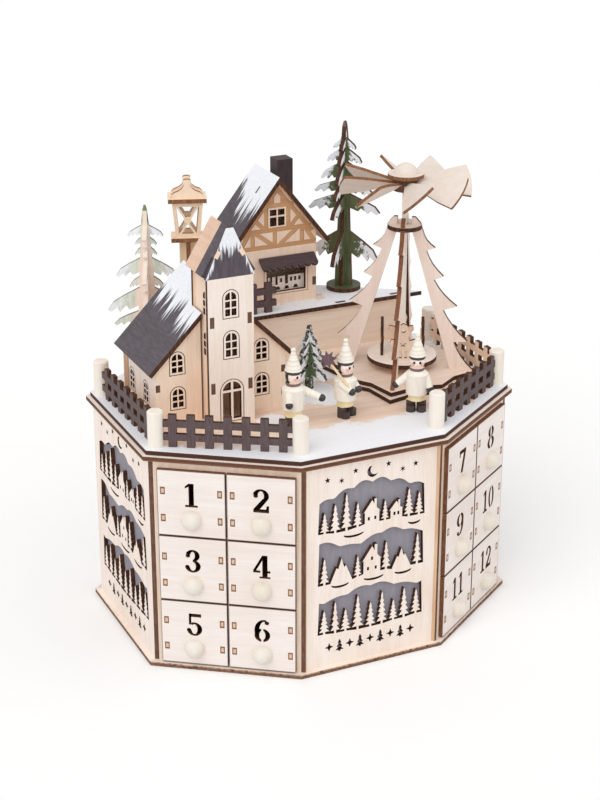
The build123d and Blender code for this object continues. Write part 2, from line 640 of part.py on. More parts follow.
# Tower roof: two boards and two gable plates
roof_len = TOWER_BACK - TOWER_FRONT - PLY
boards = []
for side in (-1, 1):
    low = ridge_z - TOWER_PITCH * TOWER_EAVE
    lean = PLY / math.hypot(1, TOWER_PITCH)
    shape = [(0, ridge_z), (side * TOWER_EAVE, low), (side * (TOWER_EAVE - lean * TOWER_PITCH), low - lean),
             (0, tower_under(0))]
    boards.append(Pos(TOWER_X, TOWER_BACK + PLY, 0) * (Rot(90, 0, 0) * sheet(shape, roof_len + PLY)))
gable_h = ridge_z - tower_low
gable = [(-TOWER_HALF - 1, 0), (TOWER_HALF + 1, 0), (GABLE_TOP, gable_h), (-GABLE_TOP, gable_h)]
front_gable = stand(sheet(gable), TOWER_X, TOWER_FRONT + PLY, tower_low, -90)
rear_half = (tower_under(0) - tower_low) / TOWER_PITCH
rear = [(-rear_half, 0), (rear_half, 0), (0, tower_under(0) - tower_low)]
rear_gable = stand(sheet(rear), TOWER_X, TOWER_BACK, tower_low, -90)
keys = []
for side in (-1, 1):
    d = 8.4
    c = (TOWER_X + side * d, ridge_z - TOWER_PITCH * d - PLY * math.hypot(1, TOWER_PITCH) / 2)
    key = Pos(c[0], TOWER_FRONT + PLY / 2, c[1]) * (Rot(0, side * math.degrees(math.atan(TOWER_PITCH)), 0)
        * Box(5, PLY, PLY))
    keys.append(key)
front_gable = cut(front_gable, keys)
boards = [b + k for b, k in zip(boards, keys)]
save("tower_roof", boards + [front_gable, rear_gable])

# Church nave, built around the tower
tower_core = block((TOWER_X - TOWER_HALF, TOWER_FRONT, GROUND),
    (TOWER_X + TOWER_HALF, TOWER_BACK, tower_low + 60))
roof_z = GROUND + NAVE_RIDGE
under = roof_z - PLY * math.sqrt(2)
gable = [(-NAVE_HALF, 0), (NAVE_HALF, 0), (NAVE_HALF, under - NAVE_HALF - GROUND), (0, under - GROUND),
         (-NAVE_HALF, under - NAVE_HALF - GROUND)]
marks = []
for u in (-30.5, 28.5):
    for z in (11.7, 35.7):
        marks += arch_window(u, z, *NAVE_WINDOW)
side_tabs = (8.0, 24.0)
tab_h = 5.0
tab_boxes = [block((s * NAVE_HALF - (PLY if s > 0 else 0), z, 0),
    (s * NAVE_HALF + (0 if s > 0 else PLY), z + tab_h, PLY))
             for s in (-1, 1) for z in side_tabs]
front = stand(cut(sheet(gable), marks + tab_boxes), NAVE_X, NAVE_FRONT + PLY, GROUND, -90) - tower_core
back = stand(sheet(gable), NAVE_X, NAVE_BACK - PLY, GROUND, 90)
walls = [front, back]
for side in (-1, 1):
    x0, x1 = side * NAVE_HALF, side * (NAVE_HALF - PLY)
    shape = [(x0, 0), (x1, 0), (x1, under - abs(x1) - GROUND), (x0, under - abs(x0) - GROUND)]
    panel = Pos(NAVE_X, NAVE_BACK - PLY, GROUND) * (Rot(90, 0, 0)
        * sheet(shape, NAVE_BACK - NAVE_FRONT - 2 * PLY))
    for z in side_tabs:
        u0, u1 = sorted((NAVE_X + x0, NAVE_X + x1))
        panel = panel + block((u0, NAVE_FRONT, GROUND + z), (u1, NAVE_FRONT + PLY, GROUND + z + tab_h))
    holes = arch_window(-14.0, 12.0, *NAVE_WINDOW) + arch_window(12.0, 12.0, *NAVE_WINDOW)
    at_x = NAVE_X + side * (NAVE_HALF - PLY)
    panel = cut(panel, [stand(h, at_x, (NAVE_FRONT + NAVE_BACK) / 2, GROUND, 180 if side < 0 else 0)
        for h in holes])
    walls.append(panel)
save("nave_walls", walls)
slabs = []
for side in (-1, 1):
    drop = PLY / math.sqrt(2)
    shape = [(0, roof_z), (side * NAVE_EAVE, roof_z - NAVE_EAVE),
        (side * (NAVE_EAVE - drop), roof_z - NAVE_EAVE - drop), (0, under)]
    length = NAVE_BACK - NAVE_FRONT + 2 * NAVE_HANG
    slab = Pos(NAVE_X, NAVE_BACK + NAVE_HANG, 0) * (Rot(90, 0, 0) * sheet(shape, length))
    slabs.append(slab - tower_core)
save("nave_roof", slabs)

# House with an engraved timber gable, a stall window, an awning and a chimney
house_z = TERRACE_Z
house_ridge = house_z + HOUSE_RIDGE


# Underside of the house roof above a given distance from its ridge line
def house_under(d):
    return house_ridge - HOUSE_PITCH * d - PLY * math.hypot(1, HOUSE_PITCH)


eave_h = house_under(HOUSE_HALF) - house_z
peak_h = house_under(0) - house_z
gable = [(-HOUSE_HALF, 0), (HOUSE_HALF, 0), (HOUSE_HALF, eave_h), (0, peak_h), (-HOUSE_HALF, eave_h)]
beam = 3.2


# Engraved beam between two points of the gable
def timber(x0, y0, x1, y1, w=beam):
    n = math.hypot(x1 - x0, y1 - y0)
    dx, dy = (y1 - y0) / n * w / 2, -(x1 - x0) / n * w / 2
    return Pos(0, 0, PLY - ENGRAVE) * sheet([(x0 + dx, y0 + dy), (x1 + dx, y1 + dy), (x1 - dx, y1 - dy),
        (x0 - dx, y0 - dy)])


low_y, mid_y, high_y = 43.5, 55.5, 73.0
beams = [(-HOUSE_HALF, low_y, HOUSE_HALF, low_y), (-26, mid_y, 26, mid_y), (-12.5, high_y, 12.5, high_y),
         (-27, mid_y - 4, 0.5, peak_h - 4), (27, mid_y - 4, -0.5, peak_h - 4), (-19, low_y, -19, mid_y),
         (19, low_y, 19, mid_y),
         (-2, low_y, -2, mid_y), (-17, mid_y - 1, -4, low_y + 1), (2, low_y + 1, 15, mid_y - 1),
         (21, mid_y, 28, low_y + 1),
         (-8.5, mid_y, -8.5, high_y), (8.5, mid_y, 8.5, high_y), (10, mid_y + 1, 17, mid_y + 9),
         (-10, mid_y + 1, -18, mid_y + 9),
         (-4, high_y, -4, peak_h - 9), (4, high_y, 4, peak_h - 9), (-21, mid_y, -28, low_y + 1)]
window = []
for x0, x1 in ((-5.6, -0.6), (0.6, 5.6)):
    for y0, y1 in ((mid_y + 2.6, mid_y + 9.0), (mid_y + 10.2, mid_y + 14.6)):
        window.append(block((x0, y0, -PLY), (x1, y1, 3 * PLY)))
stall = block((-8.5, 9.0, -PLY), (22.0, 25.5, 3 * PLY))
slots = [block((-HOUSE_HALF, HOUSE_TABS[0], -PLY), (PLY - HOUSE_HALF, HOUSE_TABS[1], 3 * PLY)),
         block((HOUSE_HALF - PLY, HOUSE_TABS[0], -PLY), (HOUSE_HALF, HOUSE_TABS[1], 3 * PLY))]
front = cut(sheet(gable), [timber(*b) for b in beams] + window + slots + [stall])
house = [stand(front, HOUSE_X, HOUSE_FRONT + PLY, house_z, -90),
         stand(sheet(gable), HOUSE_X, HOUSE_BACK - PLY, house_z, 90)]
for side in (-1, 1):
    x0, x1 = side * HOUSE_HALF, side * (HOUSE_HALF - PLY)
    shape = [(x0, 0), (x1, 0), (x1, house_under(abs(x1)) - house_z), (x0, house_under(abs(x0)) - house_z)]
    panel = Pos(HOUSE_X, HOUSE_BACK - PLY, house_z) * (Rot(90, 0, 0)
        * sheet(shape, HOUSE_BACK - HOUSE_FRONT - 2 * PLY))
    panel = panel + block((HOUSE_X + min(x0, x1), HOUSE_FRONT, house_z + HOUSE_TABS[0]),
        (HOUSE_X + max(x0, x1), HOUSE_FRONT + PLY, house_z + HOUSE_TABS[1]))
    hole = block((-5, 16, -PLY), (5, 30, 3 * PLY)) - block((-0.6, 15, -PLY), (0.6, 31, 3 * PLY))
    hole = hole - block((-6, 22.4, -PLY), (6, 23.6, 3 * PLY))
    at_x = HOUSE_X + side * (HOUSE_HALF - PLY)
    panel = panel - stand(hole, at_x, (HOUSE_FRONT + HOUSE_BACK) / 2, house_z, 180 if side < 0 else 0)
    house.append(panel)
save("house_walls", house)
slabs = []
roof_front = HOUSE_FRONT - HOUSE_HANG
roof_back = HOUSE_BACK + HOUSE_BACK_HANG
for side in (-1, 1):
    low = house_ridge - HOUSE_PITCH * HOUSE_EAVE
    lean = PLY / math.hypot(1, HOUSE_PITCH)
    shape = [(0, house_ridge), (side * HOUSE_EAVE, low),
        (side * (HOUSE_EAVE - lean * HOUSE_PITCH), low - lean), (0, house_under(0))]
    slabs.append(Pos(HOUSE_X, roof_back, 0) * (Rot(90, 0, 0) * sheet(shape, roof_back - roof_front)))
cx, cy = CHIMNEY_AT
half = CHIMNEY / 2
roof_at = lambda x: house_ridge - HOUSE_PITCH * abs(x - HOUSE_X)
column = [(cx - half, roof_at(cx - half)), (cx + half, roof_at(cx + half)),
    (cx + half, house_z + CHIMNEY_TOP),
          (cx - half, house_z + CHIMNEY_TOP)]
save("house_roof", slabs)
save("house_chimney", [Pos(0, cy + half, 0) * (Rot(90, 0, 0) * sheet(column, CHIMNEY))])

# Stall awning with a scalloped lower edge, and the fretted goods behind the counter
awn_half = 21.3
awn_drop = 9.0
awn_top = 34.4
awn_lean = 55.0
scallops = []
for i in range(8):
    c = -awn_half + awn_half * 2 * (i + 0.5) / 8
    r = awn_half / 8
    scallops += arc_points(c, 0.0, r, 2.0, 180, 360, 6)[:-1]
awning = sheet(scallops + [(awn_half, 0.0), (awn_half, awn_drop), (-awn_half, awn_drop)], THIN)
awning = Rot(-awn_lean, 0, 0) * (Pos(0, -awn_drop, 0) * awning)
awning = stand(awning, HOUSE_X + 6.7, HOUSE_FRONT, house_z + awn_top, -90)
awning = awning - block((-60, HOUSE_FRONT, house_z), (120, HOUSE_FRONT + 30, house_z + 80))
goods = sheet([(-10.5, 6.0), (24.0, 6.0), (24.0, 19.6), (-10.5, 19.6)], THIN)
shelf_holes = [bar(u0, 13.4, u1, 25.0) for u0, u1 in ((-8.6, -6.3), (-4.6, -2.8), (-0.4, 1.4), (7.2, 9.4))]
shelf_holes += [bar(u, 15.0, u + 1.7, 18.0) for u in (3.2, 11.0, 14.2, 17.6)]
shelf_holes += [[(u - 2.0, 9.6), (u + 2.0, 9.6), (u + 1.0, 12.0), (u - 1.0, 12.0)]
    for u in (-6.0, 1.5, 8.5, 15.4)]
goods = cut(goods, [Pos(0, 0, -PLY) * sheet(s, 3 * PLY) for s in shelf_holes])
goods = stand(goods, HOUSE_X, HOUSE_FRONT + PLY + THIN, house_z, -90)
save("stall_awning", [awning, goods])

# Lantern: crossed post boards, plates, four open sides and two bell-shaped roof boards
lx, ly = LANTERN_AT
spin = Pos(lx, ly, TERRACE_Z) * Rot(0, 0, LANTERN_TURN)
half = LANTERN_POST_W / 2
lap = LANTERN_POST_H / 2
post_a = block((-half, -PLY / 2, 0), (half, PLY / 2, LANTERN_POST_H)) - block((-PLY / 2, -PLY, 0),
    (PLY / 2, PLY, lap))
post_b = block((-PLY / 2, -half, 0), (PLY / 2, half, LANTERN_POST_H)) - block((-PLY, -PLY / 2, lap),
    (PLY, PLY / 2, LANTERN_POST_H))
save("lantern_post", [spin * post_a, spin * post_b])
z1 = LANTERN_POST_H
z2 = z1 + PLY
z3 = z2 + LANTERN_CAGE_H
plate = LANTERN_PLATE / 2
cap = LANTERN_CAP / 2
deep = LANTERN_DEPTH / 2
head = [block((-plate, -deep - 1.5, z1), (plate, deep + 1.5, z2)),
        block((-cap, -deep - 2.5, z3), (cap, deep + 2.5, z3 + PLY))]
low_w, high_w = LANTERN_CAGE
rise = z3 - z2
panel = [(-low_w, 0), (low_w, 0), (high_w, rise), (-high_w, rise)]
hole = [(-low_w + 2.4, 3), (low_w - 2.4, 3), (high_w - 2.6, rise - 3), (-high_w + 2.6, rise - 3)]
arm = lambda p, q: sheet([(p[0] - 0.9, p[1]), (p[0] + 0.9, p[1]), (q[0] + 0.9, q[1]), (q[0] - 0.9, q[1])],
    3 * THIN)
cross = arm((-low_w + 3, 2.5), (high_w - 3.4, rise - 2.5)) + arm((low_w - 3, 2.5), (-high_w + 3.4, rise - 2.5))
disc = Pos(0, rise / 2, 0) * Cylinder(2.6, 6 * THIN)
opening = (Pos(0, 0, -THIN) * sheet(hole, 3 * THIN)) - (Pos(0, 0, -THIN) * cross) - disc
fretted = Pos(0, 0, -THIN) * (sheet(panel, THIN) - opening)
fronts = [stand(fretted, *polar((0, 0), deep, out), z2, out) for out in (-90, 90)]
lean = math.degrees(math.atan2(high_w - low_w, rise))
inner = deep - THIN
flank = block((-inner, -2, -THIN), (inner, rise + 2, 0))
flank -= block((2 - inner, 3, -2 * THIN), (inner - 2, rise - 3, THIN))
flanks = [stand(Rot(lean, 0, 0) * flank, *polar((0, 0), low_w, out), z2, out) for out in (0, 180)]
flanks = [f & block((-30, -30, z2), (30, 30, z3)) for f in flanks]
bell = [(1, 0), (0.98, 0.15), (0.84, 0.28), (0.55, 0.37), (0.33, 0.5), (0.2, 0.68), (0.2, 0.77), (0.26, 0.85),
        (0.24, 0.95), (0.12, 1)]
bell = [(x * LANTERN_BELL_HALF, y * LANTERN_FINIAL) for x, y in bell]
bell_board = Pos(0, 0, -PLY / 2) * sheet(bell + [(-x, y) for x, y in bell[::-1]])
bells = [stand(bell_board, 0, side * (deep - 2.0), z3 + PLY, -90) for side in (-1, 1)]
save("lantern_head", [spin * p for p in head + fronts + flanks + bells])

# Trees of crossed boards; the tall one stands in a round foot
tall = crossed_tree(TALL_AT, TERRACE_Z, 45, TALL_LEVELS, TALL_H, 6.5, 0.75, True, 50.0)
foot = Pos(TALL_AT[0], TALL_AT[1], TERRACE_Z + PLY / 2) * Cylinder(12.5, PLY)
save("tall_tree", tall + [cut(foot, tall)])
save("white_tree", crossed_tree(WHITE_AT, GROUND, WHITE_TURN, WHITE_LEVELS, WHITE_H, 9.0, 0.6, True, 45.0))
save("small_tree", crossed_tree(SMALL_AT, GROUND, 30, SMALL_LEVELS, SMALL_H, 2.6, 0.7, False, 18.0))


# Carolers turned from wood
def caroler(at, facing, gloves, with_star):
    legs = Pos(0, 0, (BOOT_H + LEG_TOP) / 2) * Cylinder(5.4, LEG_TOP - BOOT_H)
    coat = Pos(0, 0, LEG_TOP + 7.0) * Cone(7.0, 7.6, 14.0) + Pos(0, 0, COAT_TOP - 1.25) * Cone(7.6, 4.4, 2.5)
    boots = []
    for side in (-1, 1):
        boot = Pos(side * 3.5, 0, BOOT_H / 2) * Cylinder(3.1, BOOT_H)
        boot = boot + Pos(side * 3.5, 2.8, 2.2) * Cylinder(3.1, 4.4)
        boot = boot & block((0 if side > 0 else -20, -20, 0), (20 if side > 0 else 0, 20, BOOT_H))
        boots.append(boot)
    scarf = Pos(0, 0, COAT_TOP + SCARF_H / 2) * Cylinder(4.8, SCARF_H)
    head_z = COAT_TOP + SCARF_H + HEAD_R * 0.8
    brim_z = head_z + HEAD_R * 0.45
    head = (Pos(0, 0, head_z) * Sphere(HEAD_R)) & block((-9, -9, COAT_TOP + SCARF_H), (9, 9, brim_z))
    brim = Pos(0, 0, brim_z + 0.8) * Cylinder(5.4, 1.6)
    hat = Pos(0, 0, brim_z + 1.6 + HAT_H / 2) * Cone(5.7, 1.3, HAT_H)
    bobble = Pos(0, 0, brim_z + 1.6 + HAT_H + 1.0) * Sphere(1.7)
    bobble = bobble - hat
    arms, hands = [], []
    for side, (gx, gy, gz) in zip((-1, 1), gloves):
        start = Vector(side * 5.6, 0.4, COAT_TOP - 4.2)
        end = Vector(gx, gy, gz)
        way = end - start
        sleeve = Plane(origin=(start + end) * 0.5, z_dir=way).location * Cone(2.9, 2.2, way.length)
        hand = Pos(gx, gy, gz) * Sphere(GLOVE_R)
        hand = hand - coat
        arms.append((sleeve - coat) - hand)
        hands.append(hand)
    extras = []
    if with_star:
        top, grip = Vector(*STAR_TOP), Vector(*gloves[1])
        way = (top - grip).normalized()
        foot = grip - way * (GLOVE_R * 0.6)
        stick = Plane(origin=(foot + top) * 0.5, z_dir=way).location * Cylinder(STICK_R, (top - foot).length)
        face = Vector(*STAR_FACE)
        flat = Plane(origin=top, x_dir=way, z_dir=face - way * face.dot(way))
        star_plate = flat.location * (Pos(0, 0, -THIN / 2) * sheet(star(0, 0, STAR_R, 8, 0.55, 202.5), THIN))
        stick = (stick - star_plate).solids().sort_by(SortBy.VOLUME)[-1]
        arms[1] = arms[1] - stick
        hands[1] = hands[1] - stick
        extras = [stick, star_plate]
    pieces = boots + [legs, coat] + [a.solids().sort_by(SortBy.VOLUME)[-1] for a in arms]
    pieces += hands + [scarf, head, brim, hat, bobble] + extras
    turn = Pos(at[0], at[1], GROUND) * Rot(0, 0, facing - 90)
    return [turn * p for p in pieces]


for name, (at, facing, gloves, with_star) in CAROLERS.items():
    save(name, caroler(at, facing, gloves, with_star))

# Pyramid: two star boards, four tree-shaped legs and a round top plate
px, py = PYR_AT


# Star outline with long tips at the legs and shorter ones between
def star_board(grow):
    pts = []
    for i in range(16):
        deg = PYR_TURN + i * 22.5
        radius = (STAR_TIP, STAR_NOTCH, STAR_MID, STAR_NOTCH)[i % 4] + (grow if i % 4 == 0 else grow * 0.45)
        pts.append(polar(PYR_AT, radius, deg))
    return pts


seat = Pos(px, py, GROUND + 1.5 * PLY) * Cylinder(SPINDLE_R + SPINDLE_GAP, PLY + 0.02)
lower = Pos(0, 0, GROUND) * sheet(star_board(STAR_STEP))
upper = Pos(0, 0, GROUND + PLY) * sheet(star_board(0))
floor_z = GROUND + 2 * PLY


# Hollow edge of a branch: points from one end up to the other, bowed towards the trunk
def hollow(start, end, steps=4):
    out = []
    for i in range(steps):
        t = i / steps
        bow = LEG_SAG * 4 * t * (1 - t)
        out.append((start[0] + (end[0] - start[0]) * t - bow, start[1] + (end[1] - start[1]) * t - bow / 2))
    return out


crown_h = PYR_TOP_H + LEG_RISE
leg = [(LEG_FOOT[0], 0)]
for tip, notch in zip(((LEG_FOOT[1], 0),) + LEG_TIPS, LEG_NOTCHES + (LEG_NECK,)):
    leg += hollow(tip, notch) + [notch]
leg += [(10.4, PYR_TOP_H + LEG_RISE * 0.3), (7.2, crown_h), (LEG_TOP_IN, crown_h),
        (LEG_TOP_IN, PYR_TOP_H - PLY)]
leg_board = Pos(0, 0, -PLY / 2) * sheet(leg)
leg_tab = block((38.0, -PLY, -PLY / 2), (44.0, 0, PLY / 2))
legs = [stand(leg_board + leg_tab, px, py, floor_z, PYR_TURN + 90 * i - 90) for i in range(4)]
plate = Pos(px, py, floor_z + PYR_TOP_H - PLY / 2) * Cylinder(PYR_TOP_R, PLY)
plate = plate - Pos(px, py, floor_z + PYR_TOP_H - PLY / 2) * Cylinder(SPINDLE_R + SPINDLE_GAP, 3 * PLY)
save("pyramid_base", [lower, cut(upper, legs + [seat])])
save("pyramid_legs", legs)
save("pyramid_top_plate", [cut(plate, legs)])

# Rotor: spindle with hub and cap, turntable with fretted figures, tilted blades
disc_z = floor_z + DISC_LIFT
hub_z = floor_z + PYR_TOP_H + HUB_LIFT
foot_z = GROUND + PLY
spindle_h = hub_z - foot_z
spindle = Pos(px, py, foot_z + spindle_h / 2) * Cylinder(SPINDLE_R, spindle_h)
disc = Pos(px, py, disc_z + PLY / 2) * (Cylinder(DISC_R, PLY) - Cylinder(SPINDLE_R, 2 * PLY))
figure = [(-4.5, 0), (4.5, 0), (6.0, 9), (9.0, 12.5), (8.2, 15.5), (4.2, 14.5), (3.2, 18), (4.0, 21.5),
    (2.6, 25.5), (0, 27),
          (-2.6, 25.5), (-4.0, 21.5), (-3.2, 18), (-4.2, 14.5), (-8.2, 15.5), (-9.0, 12.5), (-6.0, 9)]
gaps = [bar(-2.8, 2, -0.8, 7.5), bar(0.8, 2, 2.8, 7.5), star(0, 12, 2.4),
    arc_points(0, 22, 1.6, 1.6, 0, 330, 11)]
figure_board = cut(sheet(figure, THIN), [Pos(0, 0, -PLY) * sheet(g, 3 * PLY) for g in gaps])
figures = []
for i in range(4):
    deg = PYR_TURN + FIGURE_PHASE + 90 * i
    fx, fy = polar(PYR_AT, FIGURE_R, deg)
    figures.append(stand(Pos(0, 0, -THIN / 2) * figure_board, fx, fy, disc_z + PLY, deg))
root = HUB_R - BLADE_SEAT
blade = arc_points(0, 0, BLADE_R, BLADE_R, 90 - BLADE_HALF_DEG, 90 + BLADE_HALF_DEG, 10)
blade += [(-9.8, 30.0), (-2.6, HUB_R + 1.0), (-2.6, root), (2.6, root), (2.6, HUB_R + 1.0), (9.8, 30.0)]
blade_board = Pos(0, 0, -THIN / 2) * sheet(blade, THIN)
blades = []
for i in range(BLADES):
    turned = Rot(0, 0, PYR_TURN + BLADE_PHASE + 360 / BLADES * i) * (Rot(0, BLADE_TILT, 0) * blade_board)
    blades.append(Pos(px, py, hub_z + HUB_H / 2) * turned)
hub = cut(Pos(px, py, hub_z + HUB_H / 2) * Cylinder(HUB_R, HUB_H), blades)
hub = hub.solids().sort_by(SortBy.VOLUME)[-1]
hub_cap = Pos(px, py, hub_z + HUB_H + HUB_CAP_H / 2) * Cylinder(HUB_CAP_R, HUB_CAP_H)
ball_r = (DOME_R ** 2 + DOME_RISE ** 2) / (2 * DOME_RISE)
cap_z = hub_z + HUB_H + HUB_CAP_H
dome = Pos(px, py, cap_z + DOME_RISE - ball_r) * Sphere(ball_r)
dome = dome & block((px - 20, py - 20, cap_z), (px + 20, py + 20, cap_z + 10))
save("rotor_spindle", [spindle, hub, hub_cap, dome])
save("rotor_turntable", [disc] + figures)
save("rotor_blades", blades)
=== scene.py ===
import math
import bpy
import bmesh
import numpy as np
from mathutils import Matrix, Vector


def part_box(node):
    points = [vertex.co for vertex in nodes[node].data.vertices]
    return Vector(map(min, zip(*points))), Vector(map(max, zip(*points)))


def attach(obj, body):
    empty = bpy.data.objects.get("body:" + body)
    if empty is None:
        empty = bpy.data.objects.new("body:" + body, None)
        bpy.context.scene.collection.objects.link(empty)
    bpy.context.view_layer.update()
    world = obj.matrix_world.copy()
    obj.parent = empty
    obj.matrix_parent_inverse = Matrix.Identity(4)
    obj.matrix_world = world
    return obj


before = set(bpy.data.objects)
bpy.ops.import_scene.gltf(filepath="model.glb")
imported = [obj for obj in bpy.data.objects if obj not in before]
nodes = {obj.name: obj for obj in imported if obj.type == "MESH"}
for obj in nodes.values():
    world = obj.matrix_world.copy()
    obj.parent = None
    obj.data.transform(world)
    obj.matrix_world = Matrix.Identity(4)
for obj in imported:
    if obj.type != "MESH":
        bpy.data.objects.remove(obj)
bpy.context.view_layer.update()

X, Y, Z = (1, 0, 0), (0, 1, 0), (0, 0, 1)

# Box and drawers, in millimetres as in the construction
PLY, THIN = 3.0, 2.0
HALF_X, HALF_Y, FRONT_HALF, SIDE_HALF = 134.5, 113.5, 51.75, 55.5
TURN = math.degrees(math.atan2(HALF_Y - SIDE_HALF, HALF_X - FRONT_HALF))
BANKS = {1: -90 - TURN, 7: -90 + TURN, 13: 90 - TURN, 19: 90 + TURN}
WALL_INSET, BANK_SHIFT, BANK_REACH = 4.0, 3.4, 60.0
WALL_X, WALL_Y = HALF_X - WALL_INSET, HALF_Y - WALL_INSET
FRONT_W, FRONT_H, FRONT_GAP = 44.0, 45.5, 1.0
PITCH_U, PITCH_V = FRONT_W + FRONT_GAP, FRONT_H + FRONT_GAP
ROWS, COLUMNS = 3, 2
TENON_U, TENON_ROWS, TENON_HALF = 18.5, (12.0, 31.0), (1.5, 2.5)
KNOB_Z, KNOB_STEM_R = 12.0, 1.95

# Village on the deck
GROUND, TERRACE_Z = 154.0, 188.0
POSTS = ((-45.0, -97.8), (52.0, -97.3), (126.0, -47.5), (125.5, 47.5), (-125.5, 47.5), (-123.3, -49.2))
FENCED = ((5, 0), (1, 2), (2, 3), (4, 5))
TOWER_X, TOWER_HALF, TOWER_FRONT, TOWER_BACK = -65.25, 14.45, -36.3, -9.0
TOWER_KEYS, KEY_HALF = (25.75, 70.75), 3.75
GABLE_Z, GABLE_RISE, GABLE_FOOT, GABLE_TIP, GABLE_SLOPE = 253.6, 32.4, 16.75, 2.5, 1.64
GABLE_TAB, GABLE_TAB_R, GABLE_TAB_FLAT = 8.4, 2.2, 0.7
NAVE_X, NAVE_HALF, NAVE_REACH, NAVE_FRONT, NAVE_BACK = -67.0, 45.6, 51.2, -22.9, 38.0
NAVE_TABS, NAVE_TAB_HALF, NAVE_LINE_Y = (10.5, 26.5), 2.5, 28.0
HOUSE_X, HOUSE_HALF, HOUSE_REACH, HOUSE_FRONT, HOUSE_BACK = 17.3, 30.3, 39.1, 74.9, 107.0
HOUSE_TAB_Z, HOUSE_TAB_HALF, GROOVE = 13.75, 3.2, 0.4
STALL_MID, STALL_HALF, GOODS_Y = (6.6, 18.7), (17.0, 11.1), 77.5
ROOF_SLOTS, ROOF_SLOT_HALF = ((7.9, 87.0), (7.9, 109.5)), (1.7, 0.9)
LANTERN_AT, LANTERN_TURN, LANTERN_DEEP = (-46.0, 85.0), -20.0, 7.0
LANTERN_LEVELS = (54.0, 57.0, 82.0, 85.0)
TALL_AT, TALL_H, TALL_TURN = (76.0, 88.0), 124.0, 45.0
SMALL_AT, SMALL_H, SMALL_TURN = (5.5, -2.8), 45.7, 30.0
WHITE_AT, WHITE_H, WHITE_TURN = (-84.0, 66.0), 122.0, 65.0

# Carolers: place, facing and hands, then levels above the ground, radii, star and eyes
FIGURES = {"caroler_left": ((-31.0, -56.5), -62.0, ((-9.5, 15.8, 20.0), (9.0, 3.5, 17.5))),
           "caroler_middle": ((6.8, -55.5), -62.0, ((-3.0, 8.2, 19.5), (4.8, 8.8, 20.0))),
           "caroler_right": ((53.7, -66.6), -118.0, ((-9.0, 3.0, 16.0), (13.8, 2.5, 18.5)))}
BOOT_H, LEG_TOP, COAT_TOP, NECK_TOP, BRIM_Z, HAT_Z = 7.5, 12.0, 28.5, 30.5, 37.0, 38.6
HEAD_Z, HEAD_R, GLOVE_R, STICK_R, STAR_R = 34.66, 5.2, 2.5, 0.8, 6.0
LEG_R, NECK_R, BRIM_R, HAT_R = 5.5, 4.9, 5.45, 5.6
STAR_AT = (12.6, -5.1, 41.7)
EYE_SIZE, EYE_AIM, EYE_SINK = (0.88, 0.98, 0.45), (0.92, 0.38, 0.02), 0.1

# Pyramid
PYR, PYR_TURN = (76.0, -4.0), -125.3
BLADES, BLADE_TILT, BLADE_PHASE = 8, 40.0, 18.0
FIGURE_COUNT, FIGURE_PHASE, FIGURE_R, FIGURE_REACH, TABLE_TOP = 4, 10.0, 14.0, 11.0, 168.5
HUB_H, HUB_CAP_H, DOME_RISE, SPINDLE_R = 9.0, 2.5, 6.8, 2.0
LEG_AHEAD, CAP_RIM_R, CAP_FLAT_R = 5.0, 12.0, 8.6


# Linear colour of screen values from 0 to 255
def rgb(r, g, b):
    f = lambda c: c / 12.92 if c <= 0.04045 else ((c + 0.055) / 1.055) ** 2.4
    return (f(r / 255), f(g / 255), f(b / 255), 1.0)


# Level direction at an angle in degrees
def unit(deg):
    return np.array((math.cos(math.radians(deg)), math.sin(math.radians(deg)), 0.0))


